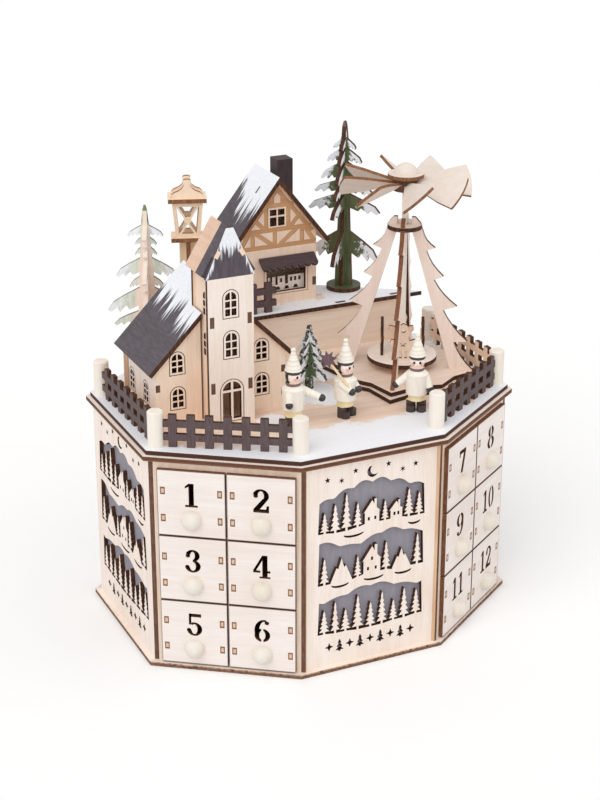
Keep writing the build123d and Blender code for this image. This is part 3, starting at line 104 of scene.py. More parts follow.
# Shader graph in millimetres of the object's own space
class Graph:
    def __init__(self, name, rough=0.62, spec=0.3):
        self.mat = bpy.data.materials.new(name)
        self.mat.use_nodes = True
        self.tree = self.mat.node_tree
        self.bsdf = self.tree.nodes["Principled BSDF"]
        self.bsdf.inputs["Roughness"].default_value = rough
        self.bsdf.inputs["Specular IOR Level"].default_value = spec
        coords = self.tree.nodes.new("ShaderNodeTexCoord")
        self.p = self.vec("SCALE", coords.outputs["Object"], 1000.0)

    def link(self, value, socket):
        if isinstance(value, bpy.types.NodeSocket):
            self.tree.links.new(value, socket)
        else:
            socket.default_value = value

    def vec(self, op, a, b=None):
        n = self.tree.nodes.new("ShaderNodeVectorMath")
        n.operation = op
        self.link(a, n.inputs[0])
        if op == "SCALE":
            self.link(b, n.inputs["Scale"])
        elif b is not None:
            self.link(b, n.inputs[1])
        return n.outputs["Value"] if op in ("DOT_PRODUCT", "DISTANCE") else n.outputs["Vector"]

    def f(self, op, a, b=0.0):
        n = self.tree.nodes.new("ShaderNodeMath")
        n.operation = op
        self.link(a, n.inputs[0])
        self.link(b, n.inputs[1])
        return n.outputs[0]

    def add(self, a, b):
        return self.f("ADD", a, b)

    def sub(self, a, b):
        return self.f("SUBTRACT", a, b)

    def mul(self, a, b):
        return self.f("MULTIPLY", a, b)

    def along(self, direction, point=(0, 0, 0)):
        return self.vec("DOT_PRODUCT", self.vec("SUBTRACT", self.p, point), direction)

    def dist(self, point, flat=False):
        p = self.vec("MULTIPLY", self.p, (1, 1, 0)) if flat else self.p
        return self.vec("DISTANCE", p, point)

    def xyz(self, x, y, z=0.0):
        n = self.tree.nodes.new("ShaderNodeCombineXYZ")
        for v, s in zip((x, y, z), n.inputs):
            self.link(v, s)
        return n.outputs[0]

    def noise(self, vector, scale, detail=2.0, rough=0.5, warp=0.0):
        n = self.tree.nodes.new("ShaderNodeTexNoise")
        self.link(vector, n.inputs["Vector"])
        n.inputs["Scale"].default_value = scale
        n.inputs["Detail"].default_value = detail
        n.inputs["Roughness"].default_value = rough
        n.inputs["Distortion"].default_value = warp
        return n.outputs[0]

    def step(self, v, low, high):
        n = self.tree.nodes.new("ShaderNodeMapRange")
        n.interpolation_type = "SMOOTHSTEP"
        self.link(v, n.inputs["Value"])
        n.inputs["From Min"].default_value = low
        n.inputs["From Max"].default_value = high
        return n.outputs[0]

    def mix(self, fac, a, b):
        n = self.tree.nodes.new("ShaderNodeMix")
        n.data_type = "RGBA"
        self.link(fac, n.inputs[0])
        self.link(a, n.inputs[6])
        self.link(b, n.inputs[7])
        return n.outputs[2]

    def ramp(self, fac, stops):
        n = self.tree.nodes.new("ShaderNodeValToRGB")
        self.link(fac, n.inputs[0])
        e = n.color_ramp.elements
        while len(e) < len(stops):
            e.new(0.5)
        for item, (at, color) in zip(e, stops):
            item.position = at
            item.color = color
        return n.outputs[0]

    # Coordinates squeezed along the grain, so that noise runs in fibres
    def fibre(self, direction, keep=0.06):
        run = self.vec("DOT_PRODUCT", self.p, direction)
        shift = self.vec("SCALE", direction, self.mul(run, keep - 1.0))
        return self.vec("ADD", self.p, shift)

    def done(self, color, height=None, depth=0.05, rough=None):
        self.link(color, self.bsdf.inputs["Base Color"])
        if rough is not None:
            self.link(rough, self.bsdf.inputs["Roughness"])
        if height is not None:
            n = self.tree.nodes.new("ShaderNodeBump")
            n.inputs["Strength"].default_value = 1.0
            n.inputs["Distance"].default_value = depth / 1000
            self.link(height, n.inputs["Height"])
            self.link(n.outputs[0], self.bsdf.inputs["Normal"])
        return self.mat


# Colour of bare plywood: fibres, growth bands, blotches and short dark pores
def wood_color(g, light, dark, direction, grain=1.0, pores=0.25):
    q = g.fibre(direction)
    fine = g.noise(q, 1.5 * grain, 3.0, 0.65)
    band = g.noise(q, 0.22 * grain, 2.0, 0.5, 0.6)
    blot = g.noise(g.p, 0.02, 2.0, 0.5)
    fac = g.add(g.add(g.mul(fine, 0.5), g.mul(band, 0.6)), g.mul(blot, 0.5))
    color = g.mix(g.step(fac, 0.55, 1.12), light, dark)
    pore = g.step(g.noise(g.fibre(direction, 0.1), 2.6 * grain, 1.0, 0.5), 0.66, 0.78)
    shade = tuple(c * 0.62 for c in dark[:3]) + (1.0,)
    return g.mix(g.mul(pore, pores), color, shade), fine


# Bare plywood or turned wood with a fine relief
def wood(name, light, dark, direction=Z, grain=1.0, pores=0.25, rough=0.6):
    g = Graph(name, rough)
    color, fine = wood_color(g, light, dark, direction, grain, pores)
    return g.done(color, fine, 0.04, g.add(g.mul(fine, 0.2), rough - 0.1))


# Laser-burnt cut: brown char with lighter patches
def burnt(name, dark, light, direction=Z):
    g = Graph(name, 0.7, 0.2)
    n = g.noise(g.fibre(direction, 0.25), 0.8, 3.0, 0.6)
    fine = g.noise(g.p, 3.0, 2.0, 0.6)
    color = g.mix(g.step(g.add(g.mul(n, 0.8), g.mul(fine, 0.3)), 0.42, 0.85), dark, light)
    return g.done(color, fine, 0.05)


# Burnt edge of a flat board with its plies as lines
def ply_edge(name, z0, tones):
    g = Graph(name, 0.7, 0.2)
    wander = g.mul(g.sub(g.noise(g.fibre(Z, 0.5), 0.09, 2.0), 0.5), 0.25)
    h = g.add(g.mul(g.sub(g.along(Z), z0), 1 / PLY), wander)
    stops = [(min(0.98, i / (len(tones) - 1)), t) for i, t in enumerate(tones)]
    char = g.noise(g.p, 0.5, 3.0, 0.6)
    dusk = tuple(c * 0.55 for c in tones[0][:3]) + (1.0,)
    color = g.mix(g.step(char, 0.4, 0.75), g.ramp(h, stops), dusk)
    return g.done(color, char, 0.06)


# Colour of opaque paint with brush marks
def paint_color(g, a, b, direction=Z, scale=0.6):
    n = g.noise(g.fibre(direction, 0.2), scale, 3.0, 0.6)
    fine = g.noise(g.p, 2.4, 2.0, 0.6)
    return g.mix(g.step(g.add(g.mul(n, 0.7), g.mul(fine, 0.4)), 0.35, 0.8), a, b), fine


# Opaque paint with a fine relief
def paint(name, a, b, direction=Z, scale=0.6, rough=0.6, spec=0.3):
    g = Graph(name, rough, spec)
    color, fine = paint_color(g, a, b, direction, scale)
    return g.done(color, fine, 0.05)


SNOW_A, SNOW_B = rgb(243, 245, 250), rgb(203, 212, 228)


# White paint dabbed over a base colour where a mask says so
def snow_over(g, base, mask, tint=SNOW_B):
    grit = g.noise(g.p, 1.3, 3.0, 0.7)
    snow = g.mix(g.step(grit, 0.45, 0.78), SNOW_A, tint)
    color = g.mix(mask, base, snow)
    height = g.add(g.mul(mask, 0.6), g.mul(grit, 0.4))
    return g.done(color, height, 0.18)


PALE, PALE_D = rgb(248, 237, 228), rgb(237, 218, 204)
TAN, TAN_D = rgb(248, 224, 203), rgb(235, 204, 178)
CREAM, CREAM_D = rgb(245, 238, 229), rgb(235, 222, 206)
CHAR, CHAR_L = rgb(62, 39, 30), rgb(112, 74, 54)

pale = wood("pale_ply", PALE, PALE_D)
pale_flat = wood("pale_ply_flat", PALE, PALE_D, X)
frame_wood = wood("face_frame_ply", rgb(243, 226, 210), rgb(228, 200, 174))
inner = wood("inner_ply", rgb(226, 196, 166), rgb(200, 160, 124))
inner_flat = wood("inner_ply_flat", rgb(226, 196, 166), rgb(200, 160, 124), X)
tan = wood("tan_ply", TAN, TAN_D)
# Painted light: a brighter copy of the tan ply for the nave's front and back, making up for the shade there
tan_painted_light = wood("tan_ply_painted_light", rgb(252, 234, 216), rgb(241, 215, 191))
tan_flat = wood("tan_ply_flat", rgb(237, 217, 202), rgb(222, 196, 175), X)
# Painted light: a brighter copy of the tan ply, grain across, for the terrace walls, making up for the shade
# on them
tan_side_painted_light = wood("tan_ply_grain_across_painted_light", rgb(253, 238, 222), rgb(243, 219, 196), X)
post_wood = wood("post_dowel", CREAM, CREAM_D, Z, 1.3)
lantern_wood = wood("lantern_ply", rgb(248, 227, 204), rgb(237, 207, 176))
leg_wood = wood("leg_ply", rgb(245, 229, 218), rgb(234, 210, 196), Z, 0.8)
blade_wood = wood("blade_ply", rgb(234, 223, 214), rgb(223, 206, 193), X, 0.8)
knob_wood = wood("turned_knob", rgb(235, 229, 219), rgb(227, 215, 199), Z, 0.9, 0.1, 0.45)
char = burnt("burnt_cut", CHAR, CHAR_L)
char_soft = burnt("burnt_cut_light", rgb(120, 80, 56), rgb(178, 128, 92))
char_number = burnt("burnt_number", rgb(100, 65, 46), rgb(146, 100, 72))
char_red = burnt("burnt_edge_red", rgb(118, 75, 53), rgb(156, 106, 77))
strip = burnt("bank_strip", rgb(98, 69, 56), rgb(132, 98, 81))
backing = paint("grey_backing", rgb(140, 136, 146), rgb(156, 152, 160), Z, 0.3, 0.75)
fence_dark = paint("fence_paint", rgb(82, 66, 67), rgb(104, 88, 88), Z, 0.7)
dark_flat = paint("roof_paint", rgb(74, 66, 72), rgb(94, 86, 92), Y, 0.5)
chimney_paint = paint("chimney_paint", rgb(48, 36, 38), rgb(68, 53, 55), Z, 0.5)
awning_paint = paint("awning_paint", rgb(62, 48, 50), rgb(82, 66, 68), X, 0.6)
hub_paint = paint("hub_stain", rgb(78, 52, 38), rgb(118, 84, 60), Z, 0.6)
beam_tan = wood("beam_tan", rgb(216, 172, 128), rgb(198, 148, 104), X)
edge_base = ply_edge("base_edge", 0.0, [rgb(92, 66, 54), rgb(150, 112, 88), rgb(104, 74, 60),
                                        rgb(186, 146, 118), rgb(216, 182, 154)])
edge_lid = ply_edge("lid_edge", GROUND - 2 * PLY, [rgb(150, 104, 80), rgb(112, 74, 58), rgb(96, 64, 50),
                                                   rgb(88, 58, 46), rgb(128, 90, 70)])
edge_deck = ply_edge("deck_edge", GROUND - PLY, [rgb(104, 72, 58), rgb(76, 48, 38), rgb(66, 42, 34),
                                                 rgb(74, 48, 38), rgb(100, 70, 56)])
edge_star = ply_edge("star_edge", GROUND, [rgb(70, 44, 34), rgb(78, 50, 38), rgb(60, 38, 30),
                                           rgb(84, 54, 42), rgb(74, 46, 36)])


# Deck: bare ply with white paint dabbed in patches and along the rim
def deck_material():
    g = Graph("deck_snow", 0.65)
    base, _ = wood_color(g, rgb(242, 221, 205), rgb(226, 196, 174), X)
    x, y = g.along(X), g.along(Y)
    rim = g.f("MINIMUM", g.sub(HALF_Y, g.f("ABSOLUTE", y)), g.sub(HALF_X, g.f("ABSOLUTE", x)))
    n = (math.sin(math.radians(TURN)), math.cos(math.radians(TURN)))
    skew = g.add(g.mul(g.f("ABSOLUTE", x), n[0]), g.mul(g.f("ABSOLUTE", y), n[1]))
    rim = g.f("MINIMUM", rim, g.sub(HALF_X * n[0] + SIDE_HALF * n[1], skew))
    rim_reach, front_line = 17.0, -66.0
    patches = ((6, -16, 26), (-41, -44, 13), (34, 42, 20), (20, 20, 18), (-6, 40, 20), (104, 34, 16),
               (-118, 52, 20))
    edge = g.sub(1.0, g.mul(rim, 1 / rim_reach))
    front = g.mul(g.sub(front_line, y), 0.06)
    value = g.f("MAXIMUM", edge, front)
    for at_x, at_y, size in patches:
        blob = g.sub(1.0, g.mul(g.dist((at_x, at_y, GROUND)), 1 / size))
        value = g.f("MAXIMUM", value, g.mul(blob, 1.2))
    wob = g.mul(g.sub(g.noise(g.p, 0.055, 4.0, 0.6), 0.5), 1.5)
    dab = g.mul(g.sub(g.noise(g.p, 0.6, 2.0, 0.6), 0.5), 0.5)
    mask = g.mul(g.step(g.add(g.add(value, wob), dab), 0.12, 0.42), 0.94)
    return snow_over(g, base, mask, rgb(222, 226, 235))


# Middle of a bank's face on the ground plan
def bank_middle(out):
    near_x = FRONT_HALF - WALL_INSET * math.tan(math.radians(TURN / 2))
    near_y = SIDE_HALF - WALL_INSET * math.tan(math.radians((90 - TURN) / 2))
    a = math.radians(out)
    side_x, side_y = math.copysign(1, math.cos(a)), math.copysign(1, math.sin(a))
    shift = side_x * side_y * BANK_SHIFT / 2
    x = side_x * (near_x + WALL_X) / 2 - shift * math.sin(a)
    y = side_y * (WALL_Y + near_y) / 2 + shift * math.cos(a)
    return np.array((x, y, PLY))


# Fronts of one bank's drawers: pale ply with burnt rims and outlined tenon ends
def front_material(first, out):
    g = Graph("drawer_fronts_%02d" % first, 0.6)
    a = math.radians(out)
    along, middle = (-math.sin(a), math.cos(a), 0), tuple(bank_middle(out))
    base, fine = wood_color(g, rgb(244, 236, 231), rgb(234, 221, 213), along, 0.9, 0.16)
    u = g.f("ABSOLUTE", g.sub(g.f("ABSOLUTE", g.along(along, middle)), PITCH_U / 2))
    v = g.f("MODULO", g.sub(g.along(Z, middle), FRONT_GAP), PITCH_V)
    rim = g.f("MINIMUM", g.sub(FRONT_W / 2, u), g.f("MINIMUM", v, g.sub(FRONT_H, v)))
    color = g.mix(g.mul(g.sub(1.0, g.step(rim, 0.15, 0.6)), 0.85), base, rgb(92, 60, 45))
    low, high = TENON_ROWS
    row = g.f("MINIMUM", g.f("ABSOLUTE", g.sub(v, low)), g.f("ABSOLUTE", g.sub(v, high)))
    across = g.f("ABSOLUTE", g.sub(u, TENON_U))
    key = g.f("MAXIMUM", g.mul(across, 1 / TENON_HALF[0]), g.mul(row, 1 / TENON_HALF[1]))
    grit = g.noise(g.p, 1.8, 2.0, 0.6)
    end = g.mix(g.step(grit, 0.35, 0.7), rgb(232, 204, 176), rgb(206, 166, 132))
    end = g.mix(g.step(key, 0.5, 0.72), end, rgb(122, 82, 60))
    color = g.mix(g.step(key, 0.98, 1.1), end, color)
    return g.done(color, fine, 0.04)


# Side wall of the nave: pale, with brown painted shade on the rear part behind a dark line
def nave_side_material():
    g = Graph("nave_side_ply", 0.6)
    base, fine = wood_color(g, PALE, PALE_D, Z)
    painted_shade, _ = wood_color(g, rgb(206, 168, 138), rgb(182, 142, 112), Z)
    y = g.along(Y)
    color = g.mix(g.step(y, NAVE_LINE_Y, NAVE_LINE_Y + 0.2), base, CHAR)
    # Painted shade: the rear part of the wall turns darker brown
    color = g.mix(g.step(y, NAVE_LINE_Y + 0.9, NAVE_LINE_Y + 1.1), color, painted_shade)
    return g.done(color, fine, 0.04)


# Front of the house: warm ply, partly its own peach tone and partly made lighter as painted light against
# the shade there, with a burnt line around the stall window
def house_front_material():
    g = Graph("house_front_ply", 0.6)
    base, fine = wood_color(g, rgb(250, 228, 209), rgb(238, 208, 184), Z)
    u = g.f("ABSOLUTE", g.sub(g.along(X), HOUSE_X + STALL_MID[0]))
    v = g.f("ABSOLUTE", g.sub(g.along(Z), TERRACE_Z + STALL_MID[1]))
    line = g.f("MAXIMUM", g.sub(u, STALL_HALF[0]), g.sub(v, STALL_HALF[1]))
    near_line = g.sub(1.0, g.step(g.f("ABSOLUTE", line), 0.2, 0.55))
    return g.done(g.mix(g.mul(near_line, 0.7), base, rgb(150, 104, 72)), fine, 0.04)


# Terrace: bare ply, mostly under white paint
def terrace_material():
    g = Graph("terrace_snow", 0.65)
    base, _ = wood_color(g, rgb(240, 219, 202), rgb(224, 196, 176), X)
    n = g.noise(g.p, 0.06, 3.0, 0.6)
    return snow_over(g, base, g.mul(g.step(n, 0.3, 0.44), 0.95), rgb(220, 226, 236))


ROOF_A, ROOF_B = rgb(76, 68, 74), rgb(98, 90, 97)


# Painted roof slope: snow from the ridge down in streaks, none in slots and, if given, less at the rear
def roof_material(name, ridge_x, reach, run, full, streak, lean, slots=(), rear=None):
    g = Graph(name, 0.62)
    base, _ = paint_color(g, ROOF_A, ROOF_B, Y, 0.5)
    down = g.mul(g.f("ABSOLUTE", g.sub(g.along(X), ridge_x)), 1 / reach)
    y = g.along(Y)
    across = g.add(y, g.mul(down, lean))
    comb = g.noise(g.xyz(g.mul(across, run), g.mul(down, 1.1)), 1.0, 2.0, 0.55)
    broad = g.noise(g.xyz(g.mul(across, run * 0.22), g.mul(down, 0.6)), 1.0, 1.0)
    value = g.sub(g.add(g.mul(comb, streak), g.mul(broad, 0.5)), down)
    if rear is not None:
        value = g.sub(value, g.mul(g.step(y, rear[0], rear[1]), rear[2]))
    mask = g.step(g.add(value, full), 0.0, 0.09)
    for at_x, at_y in slots:
        off = g.f("MAXIMUM", g.mul(g.f("ABSOLUTE", g.sub(g.along(X), at_x)), 1 / ROOF_SLOT_HALF[0]),
                  g.mul(g.f("ABSOLUTE", g.sub(y, at_y)), 1 / ROOF_SLOT_HALF[1]))
        mask = g.mul(mask, g.step(off, 0.9, 1.1))
    return snow_over(g, base, mask)


house_roof = roof_material("house_roof_snow", HOUSE_X, HOUSE_REACH, 0.62, -0.06, 0.75, 5.0, ROOF_SLOTS,
                           (94.0, 113.0, 0.22))
nave_roof = roof_material("nave_roof_snow", NAVE_X, NAVE_REACH, 0.5, -0.2, 0.8, 8.0)


# Front gable of the tower: white from the tip down and along both slopes
def gable_material():
    g = Graph("tower_gable_snow", 0.62)
    base, _ = paint_color(g, ROOF_A, ROOF_B, Z, 0.6)
    up = g.mul(g.sub(g.along(Z), GABLE_Z), 1 / GABLE_RISE)
    off = g.f("ABSOLUTE", g.sub(g.along(X), TOWER_X))
    inset = g.sub(g.sub(GABLE_FOOT, g.mul(up, GABLE_FOOT - GABLE_TIP)), off)
    comb = g.noise(g.xyz(g.mul(g.along(X), 0.75), g.mul(up, 1.6)), 1.0, 2.0, 0.6)
    value = g.f("MAXIMUM", g.sub(up, 0.52), g.sub(0.16, g.mul(inset, 0.09)))
    mask = g.step(g.add(value, g.mul(g.sub(comb, 0.45), 0.9)), 0.0, 0.16)
    return snow_over(g, base, mask)


# Slope of the tower's roof: bare ply with a painted strip at the front
def tower_slope_material():
    g = Graph("tower_slope", 0.62)
    base, fine = wood_color(g, rgb(232, 200, 178), rgb(214, 174, 148), Y)
    dark, _ = paint_color(g, ROOF_A, ROOF_B, Y, 0.5)
    y = g.along(Y)
    strip_end = -23.4
    color = g.mix(g.step(y, strip_end, strip_end + 0.4), dark, base)
    return g.done(color, fine, 0.05)


# Crossed-board tree: paint with white towards the branch ends, another tip and, if given, a bare trunk
def tree_material(name, at, z0, height, width, top_from, a, b, tip, start, soft, inner_color=None,
                  tip_from=0.945):
    g = Graph(name, 0.6)
    base, _ = paint_color(g, a, b, Z, 0.35)
    r = g.dist((at[0], at[1], 0), True)
    up = g.mul(g.sub(g.along(Z), z0), 1 / height)
    spread = g.add(g.mul(g.sub(1.0, g.step(up, top_from, 1.05)), width), 1.5)
    share = g.f("DIVIDE", r, spread)
    wob = g.mul(g.sub(g.noise(g.p, 0.28, 3.0, 0.65), 0.5), 1.0)
    mask = g.step(g.add(share, wob), start, start + soft)
    mask = g.mul(mask, g.step(up, 0.1, 0.16))
    mask = g.mul(mask, g.sub(1.0, g.step(up, tip_from - 0.015, tip_from + 0.015)))
    if inner_color is not None:
        trunk, _ = wood_color(g, inner_color[0], inner_color[1], Z)
        cone = g.f("MAXIMUM", g.sub(15.0, g.mul(up, 16.0)), 2.0)
        leaf = g.step(g.sub(g.add(r, g.mul(wob, 2.0)), cone), 0.0, 1.6)
        base = g.mix(leaf, trunk, base)
        mask = g.mul(mask, leaf)
    base = g.mix(g.step(up, tip_from, tip_from + 0.04), base, tip)
    return snow_over(g, base, mask, rgb(214, 222, 226))


TRUNK, TRUNK_D = rgb(246, 230, 218), rgb(234, 212, 197)
tall_face = tree_material("tall_tree_paint", TALL_AT, TERRACE_Z, TALL_H, 27, 0.42, rgb(80, 87, 58),
                          rgb(108, 116, 80), rgb(132, 104, 84), 0.42, 0.16)
small_face = tree_material("small_tree_paint", SMALL_AT, GROUND, SMALL_H, 13, 0.05, rgb(76, 94, 62),
                           rgb(100, 117, 80), rgb(60, 64, 48), 0.5, 0.2)
white_face = tree_material("white_tree_paint", WHITE_AT, GROUND, WHITE_H, 30, 0.25, rgb(232, 235, 226),
                           rgb(188, 199, 180), rgb(118, 142, 92), 0.55, 0.3, (TRUNK, TRUNK_D), 0.88)


# Edges of the small tree: near black with white dabs
def small_edge_material():
    g = Graph("small_tree_edge", 0.65)
    base, _ = paint_color(g, rgb(46, 46, 38), rgb(72, 70, 58), Z, 0.6)
    dab = g.step(g.noise(g.p, 0.55, 2.0, 0.6), 0.5, 0.6)
    return snow_over(g, base, g.mul(dab, 0.8), rgb(206, 212, 214))


small_edge = small_edge_material()
green_foot = paint("tree_foot_paint", rgb(72, 77, 54), rgb(96, 100, 72), X, 0.4)


# Upper edges of the white tree's front board: a burnt line in front, white behind it
def white_edge_material():
    g = Graph("white_tree_top_edge", 0.65)
    base, _ = paint_color(g, rgb(84, 70, 58), rgb(120, 108, 92), Z, 0.5)
    wander = g.mul(g.sub(g.noise(g.p, 0.35), 0.5), 1.6)
    off = g.add(g.along(tuple(unit(WHITE_TURN)), (*WHITE_AT, 0)), wander)
    return snow_over(g, base, g.step(off, 0.2, 0.9), rgb(206, 212, 200))


white_edge = white_edge_material()
trunk_wood = wood("white_tree_trunk", TRUNK, TRUNK_D)
white_under = paint("white_tree_under_edge", rgb(232, 236, 232), rgb(204, 212, 204), Z, 0.5)
deck_snow, terrace_snow = deck_material(), terrace_material()
gable_snow, tower_slope = gable_material(), tower_slope_material()
nave_side, house_front = nave_side_material(), house_front_material()

# Caroler finishes
IVORY, IVORY_D = rgb(248, 243, 233), rgb(239, 230, 216)
ivory = paint("caroler_ivory", IVORY, IVORY_D, Z, 0.5, 0.5, 0.35)


# Turned hat: the coat's ivory with faint rings
def hat_material():
    g = Graph("caroler_hat", 0.5, 0.35)
    base, _ = paint_color(g, IVORY, IVORY_D, X, 0.5)
    ring = g.noise(g.xyz(0.0, 0.0, g.along(Z)), 0.75, 1.0)
    return g.done(g.mix(g.mul(g.step(ring, 0.46, 0.62), 0.5), base, rgb(214, 202, 184)), ring, 0.12)


hat = hat_material()
trousers = paint("caroler_trousers", rgb(246, 232, 190), rgb(232, 212, 162), Z, 0.5)
boots = paint("caroler_boots", rgb(58, 46, 46), rgb(82, 68, 66), Z, 0.6, 0.45, 0.4)
scarf = paint("caroler_scarf", rgb(118, 96, 96), rgb(142, 118, 116), X, 0.9)
glove = paint("caroler_gloves", rgb(40, 37, 41), rgb(58, 54, 58), Z, 0.5, 0.25, 0.5)
brim = paint("caroler_brim", rgb(66, 62, 66), rgb(88, 84, 88), X, 0.8)
star_paint = paint("caroler_star", rgb(96, 72, 78), rgb(120, 94, 98), Z, 0.7)
stick_wood = wood("caroler_stick", rgb(246, 226, 190), rgb(230, 200, 156), Z, 2.0)
bead = paint("caroler_eyes", rgb(26, 22, 24), rgb(40, 34, 36), Z, 2.0, 0.2, 0.5)


# Painted face: warm skin, soft cheeks, hair behind and under the brim
def face_material(name, at, facing):
    g = Graph(name, 0.5, 0.35)
    a = math.radians(facing)
    ahead, side = (math.cos(a), math.sin(a), 0), (-math.sin(a), math.cos(a), 0)
    base, fine = paint_color(g, rgb(254, 240, 230), rgb(248, 228, 214), Z, 0.7)
    origin = Vector((at[0], at[1], GROUND + HEAD_Z))
    cheek_ahead, cheek_side, cheek_z = 4.0, 3.0, -1.4
    lips_ahead, lips_z = 4.7, -2.1
    color = base
    for s in (-1, 1):
        spot = origin + Vector(ahead) * cheek_ahead + Vector(side) * (cheek_side * s)
        spot += Vector((0, 0, cheek_z))
        blush = g.sub(1.0, g.step(g.dist(tuple(spot)), 0.5, 2.2))
        color = g.mix(g.mul(blush, 0.75), color, rgb(240, 160, 146))
    lips = origin + Vector(ahead) * lips_ahead + Vector((0, 0, lips_z))
    color = g.mix(g.mul(g.sub(1.0, g.step(g.dist(tuple(lips)), 0.3, 0.75)), 0.7), color, rgb(206, 110, 100))
    back = g.along(ahead, tuple(origin))
    high = g.along(Z, tuple(origin))
    wisp = g.mul(g.sub(g.noise(g.p, 1.6, 2.0), 0.5), 1.2)
    hair = g.f("MAXIMUM", g.step(g.add(g.sub(0.2, back), wisp), 0.0, 0.6),
               g.step(g.add(high, g.mul(wisp, 0.5)), 1.6, 1.9))
    color = g.mix(hair, color, rgb(54, 48, 50))
    return g.done(color, fine, 0.03)


# Middle and normal of each polygon of a node, middle in millimetres
def polygons(node):
    mesh = nodes[node].data
    count = len(mesh.polygons)
    c, n = np.empty(count * 3, np.float32), np.empty(count * 3, np.float32)
    mesh.polygons.foreach_get("center", c)
    mesh.polygons.foreach_get("normal", n)
    return c.reshape(-1, 3).astype(float) * 1000, n.reshape(-1, 3).astype(float)


# Give a node its materials: the first one everywhere, then each later one where its test holds
def dress(node, first, *rest):
    mesh = nodes[node].data
    index = np.zeros(len(mesh.polygons), np.int32)
    mesh.materials.clear()
    mesh.materials.append(first)
    for material, where in rest:
        if material.name not in mesh.materials:
            mesh.materials.append(material)
        index[where] = mesh.materials.find(material.name)
    mesh.polygons.foreach_set("material_index", index)
    mesh.update()


# Values within a tolerance of a target
def near(values, target, tol=0.06):
    return np.abs(values - target) < tol


# Polygons within a half height of any of the levels above a floor
def level_with(c, floor_z, levels, half):
    return np.any([np.abs(c[:, 2] - floor_z - level) < half for level in levels], axis=0)


# Flat boards of the box
for name, top, edge in (("base_board", pale_flat, edge_base), ("lid_board", pale_flat, edge_lid),
                        ("deck_board", deck_snow, edge_deck)):
    c, n = polygons(name)
    dress(name, edge, (pale_flat, n[:, 2] < -0.9), (top, n[:, 2] > 0.9))

c, n = polygons("fret_panels")
ax, ay = np.abs(c[:, 0]), np.abs(c[:, 1])
flat = (near(ay, WALL_Y) | near(ay, WALL_Y - PLY)) & (np.abs(n[:, 1]) > 0.99)
flat |= (near(ax, WALL_X) | near(ax, WALL_X - PLY)) & (np.abs(n[:, 0]) > 0.99)
dress("fret_panels", char, (pale, flat))
dress("fret_backings", backing)


# Polygon places in a bank's own frame: along the face, up, and out of it
def bank_frame(c, out):
    p = c - bank_middle(out)
    return p @ unit(out + 90), p[:, 2], p @ unit(out)


# Polygons that lie in the front plane of a bank
def front_of_bank(c, n):
    hit = np.zeros(len(c), bool)
    for out in BANKS.values():
        u, _, w = bank_frame(c, out)
        hit |= near(w, 0.0) & (n @ unit(out) > 0.99) & (np.abs(u) < BANK_REACH)
    return hit


c, n = polygons("bank_side_walls")
dress("bank_side_walls", inner, (strip, front_of_bank(c, n)))
c, n = polygons("drawer_frames")
thin = np.zeros(len(c), bool)
for out in BANKS.values():
    u, _, w = bank_frame(c, out)
    thin |= (np.abs(n @ unit(out)) < 0.5) & (np.abs(u) < BANK_REACH) & (w > -PLY - 0.1) & (w < 0.1)
dress("drawer_frames", inner, (char, thin), (frame_wood, front_of_bank(c, n)))
dress("bank_shelves", inner_flat)
dress("bank_dividers", inner)
dress("bank_backs", inner)

fronts = {first: front_material(first, out) for first, out in BANKS.items()}
drawers = [(first, index) for first in BANKS for index in range(ROWS * COLUMNS)]
for first, index in drawers:
    name = "drawer_%02d" % (first + index)
    out = BANKS[first]
    c, n = polygons(name)
    u, v, w = bank_frame(c, out)
    u = u - (index % COLUMNS - 0.5) * PITCH_U
    v = v - (FRONT_GAP + (ROWS - 1 - index // COLUMNS) * PITCH_V)
    face = near(w, PLY) & (n @ unit(out) > 0.99)
    back_face = near(w, 0.0) & (n @ unit(out) < -0.99)
    wall = (w > 0.01) & (w < PLY - 0.01) & (np.abs(n @ unit(out)) < 0.5)
    ball = (w > PLY + 0.02) | ((np.hypot(u, v - KNOB_Z) < KNOB_STEM_R) & (w > -0.1))
    dress(name, inner, (char_number, wall), (pale_flat, back_face), (fronts[first], face), (knob_wood, ball))

# Fence and posts
dress("fence_posts", post_wood)
c, n = polygons("picket_fences")
dark, bare = np.zeros(len(c), bool), np.zeros(len(c), bool)
for start, end in FENCED:
    (x0, y0), (x1, y1) = POSTS[start], POSTS[end]
    normal = np.array((y1 - y0, x0 - x1, 0)) / math.hypot(x1 - x0, y1 - y0)
    off = (c - np.array((x0, y0, 0))) @ normal
    low = c[:, 2] < TERRACE_Z - 1
    dark |= low & near(off, PLY / 2) & (n @ normal > 0.99)
    bare |= low & near(off, -PLY / 2) & (n @ normal < -0.99)
high = c[:, 2] > TERRACE_Z - 1
dark |= high & (n[:, 1] < -0.99) & near(c[:, 1], c[high][:, 1].min(), 0.1)
bare |= high & (n[:, 1] > 0.99) & near(c[:, 1], c[high][:, 1].max(), 0.1)
dress("picket_fences", char, (fence_dark, dark), (tan, bare))

# Terrace
c, n = polygons("terrace_walls")
# Terrace walls in the tan ply brightened as painted light, burnt top edges
dress("terrace_walls", tan_side_painted_light, (char, n[:, 2] > 0.9))
c, n = polygons("terrace_top")
dress("terrace_top", char, (inner_flat, n[:, 2] < -0.9), (terrace_snow, n[:, 2] > 0.9))

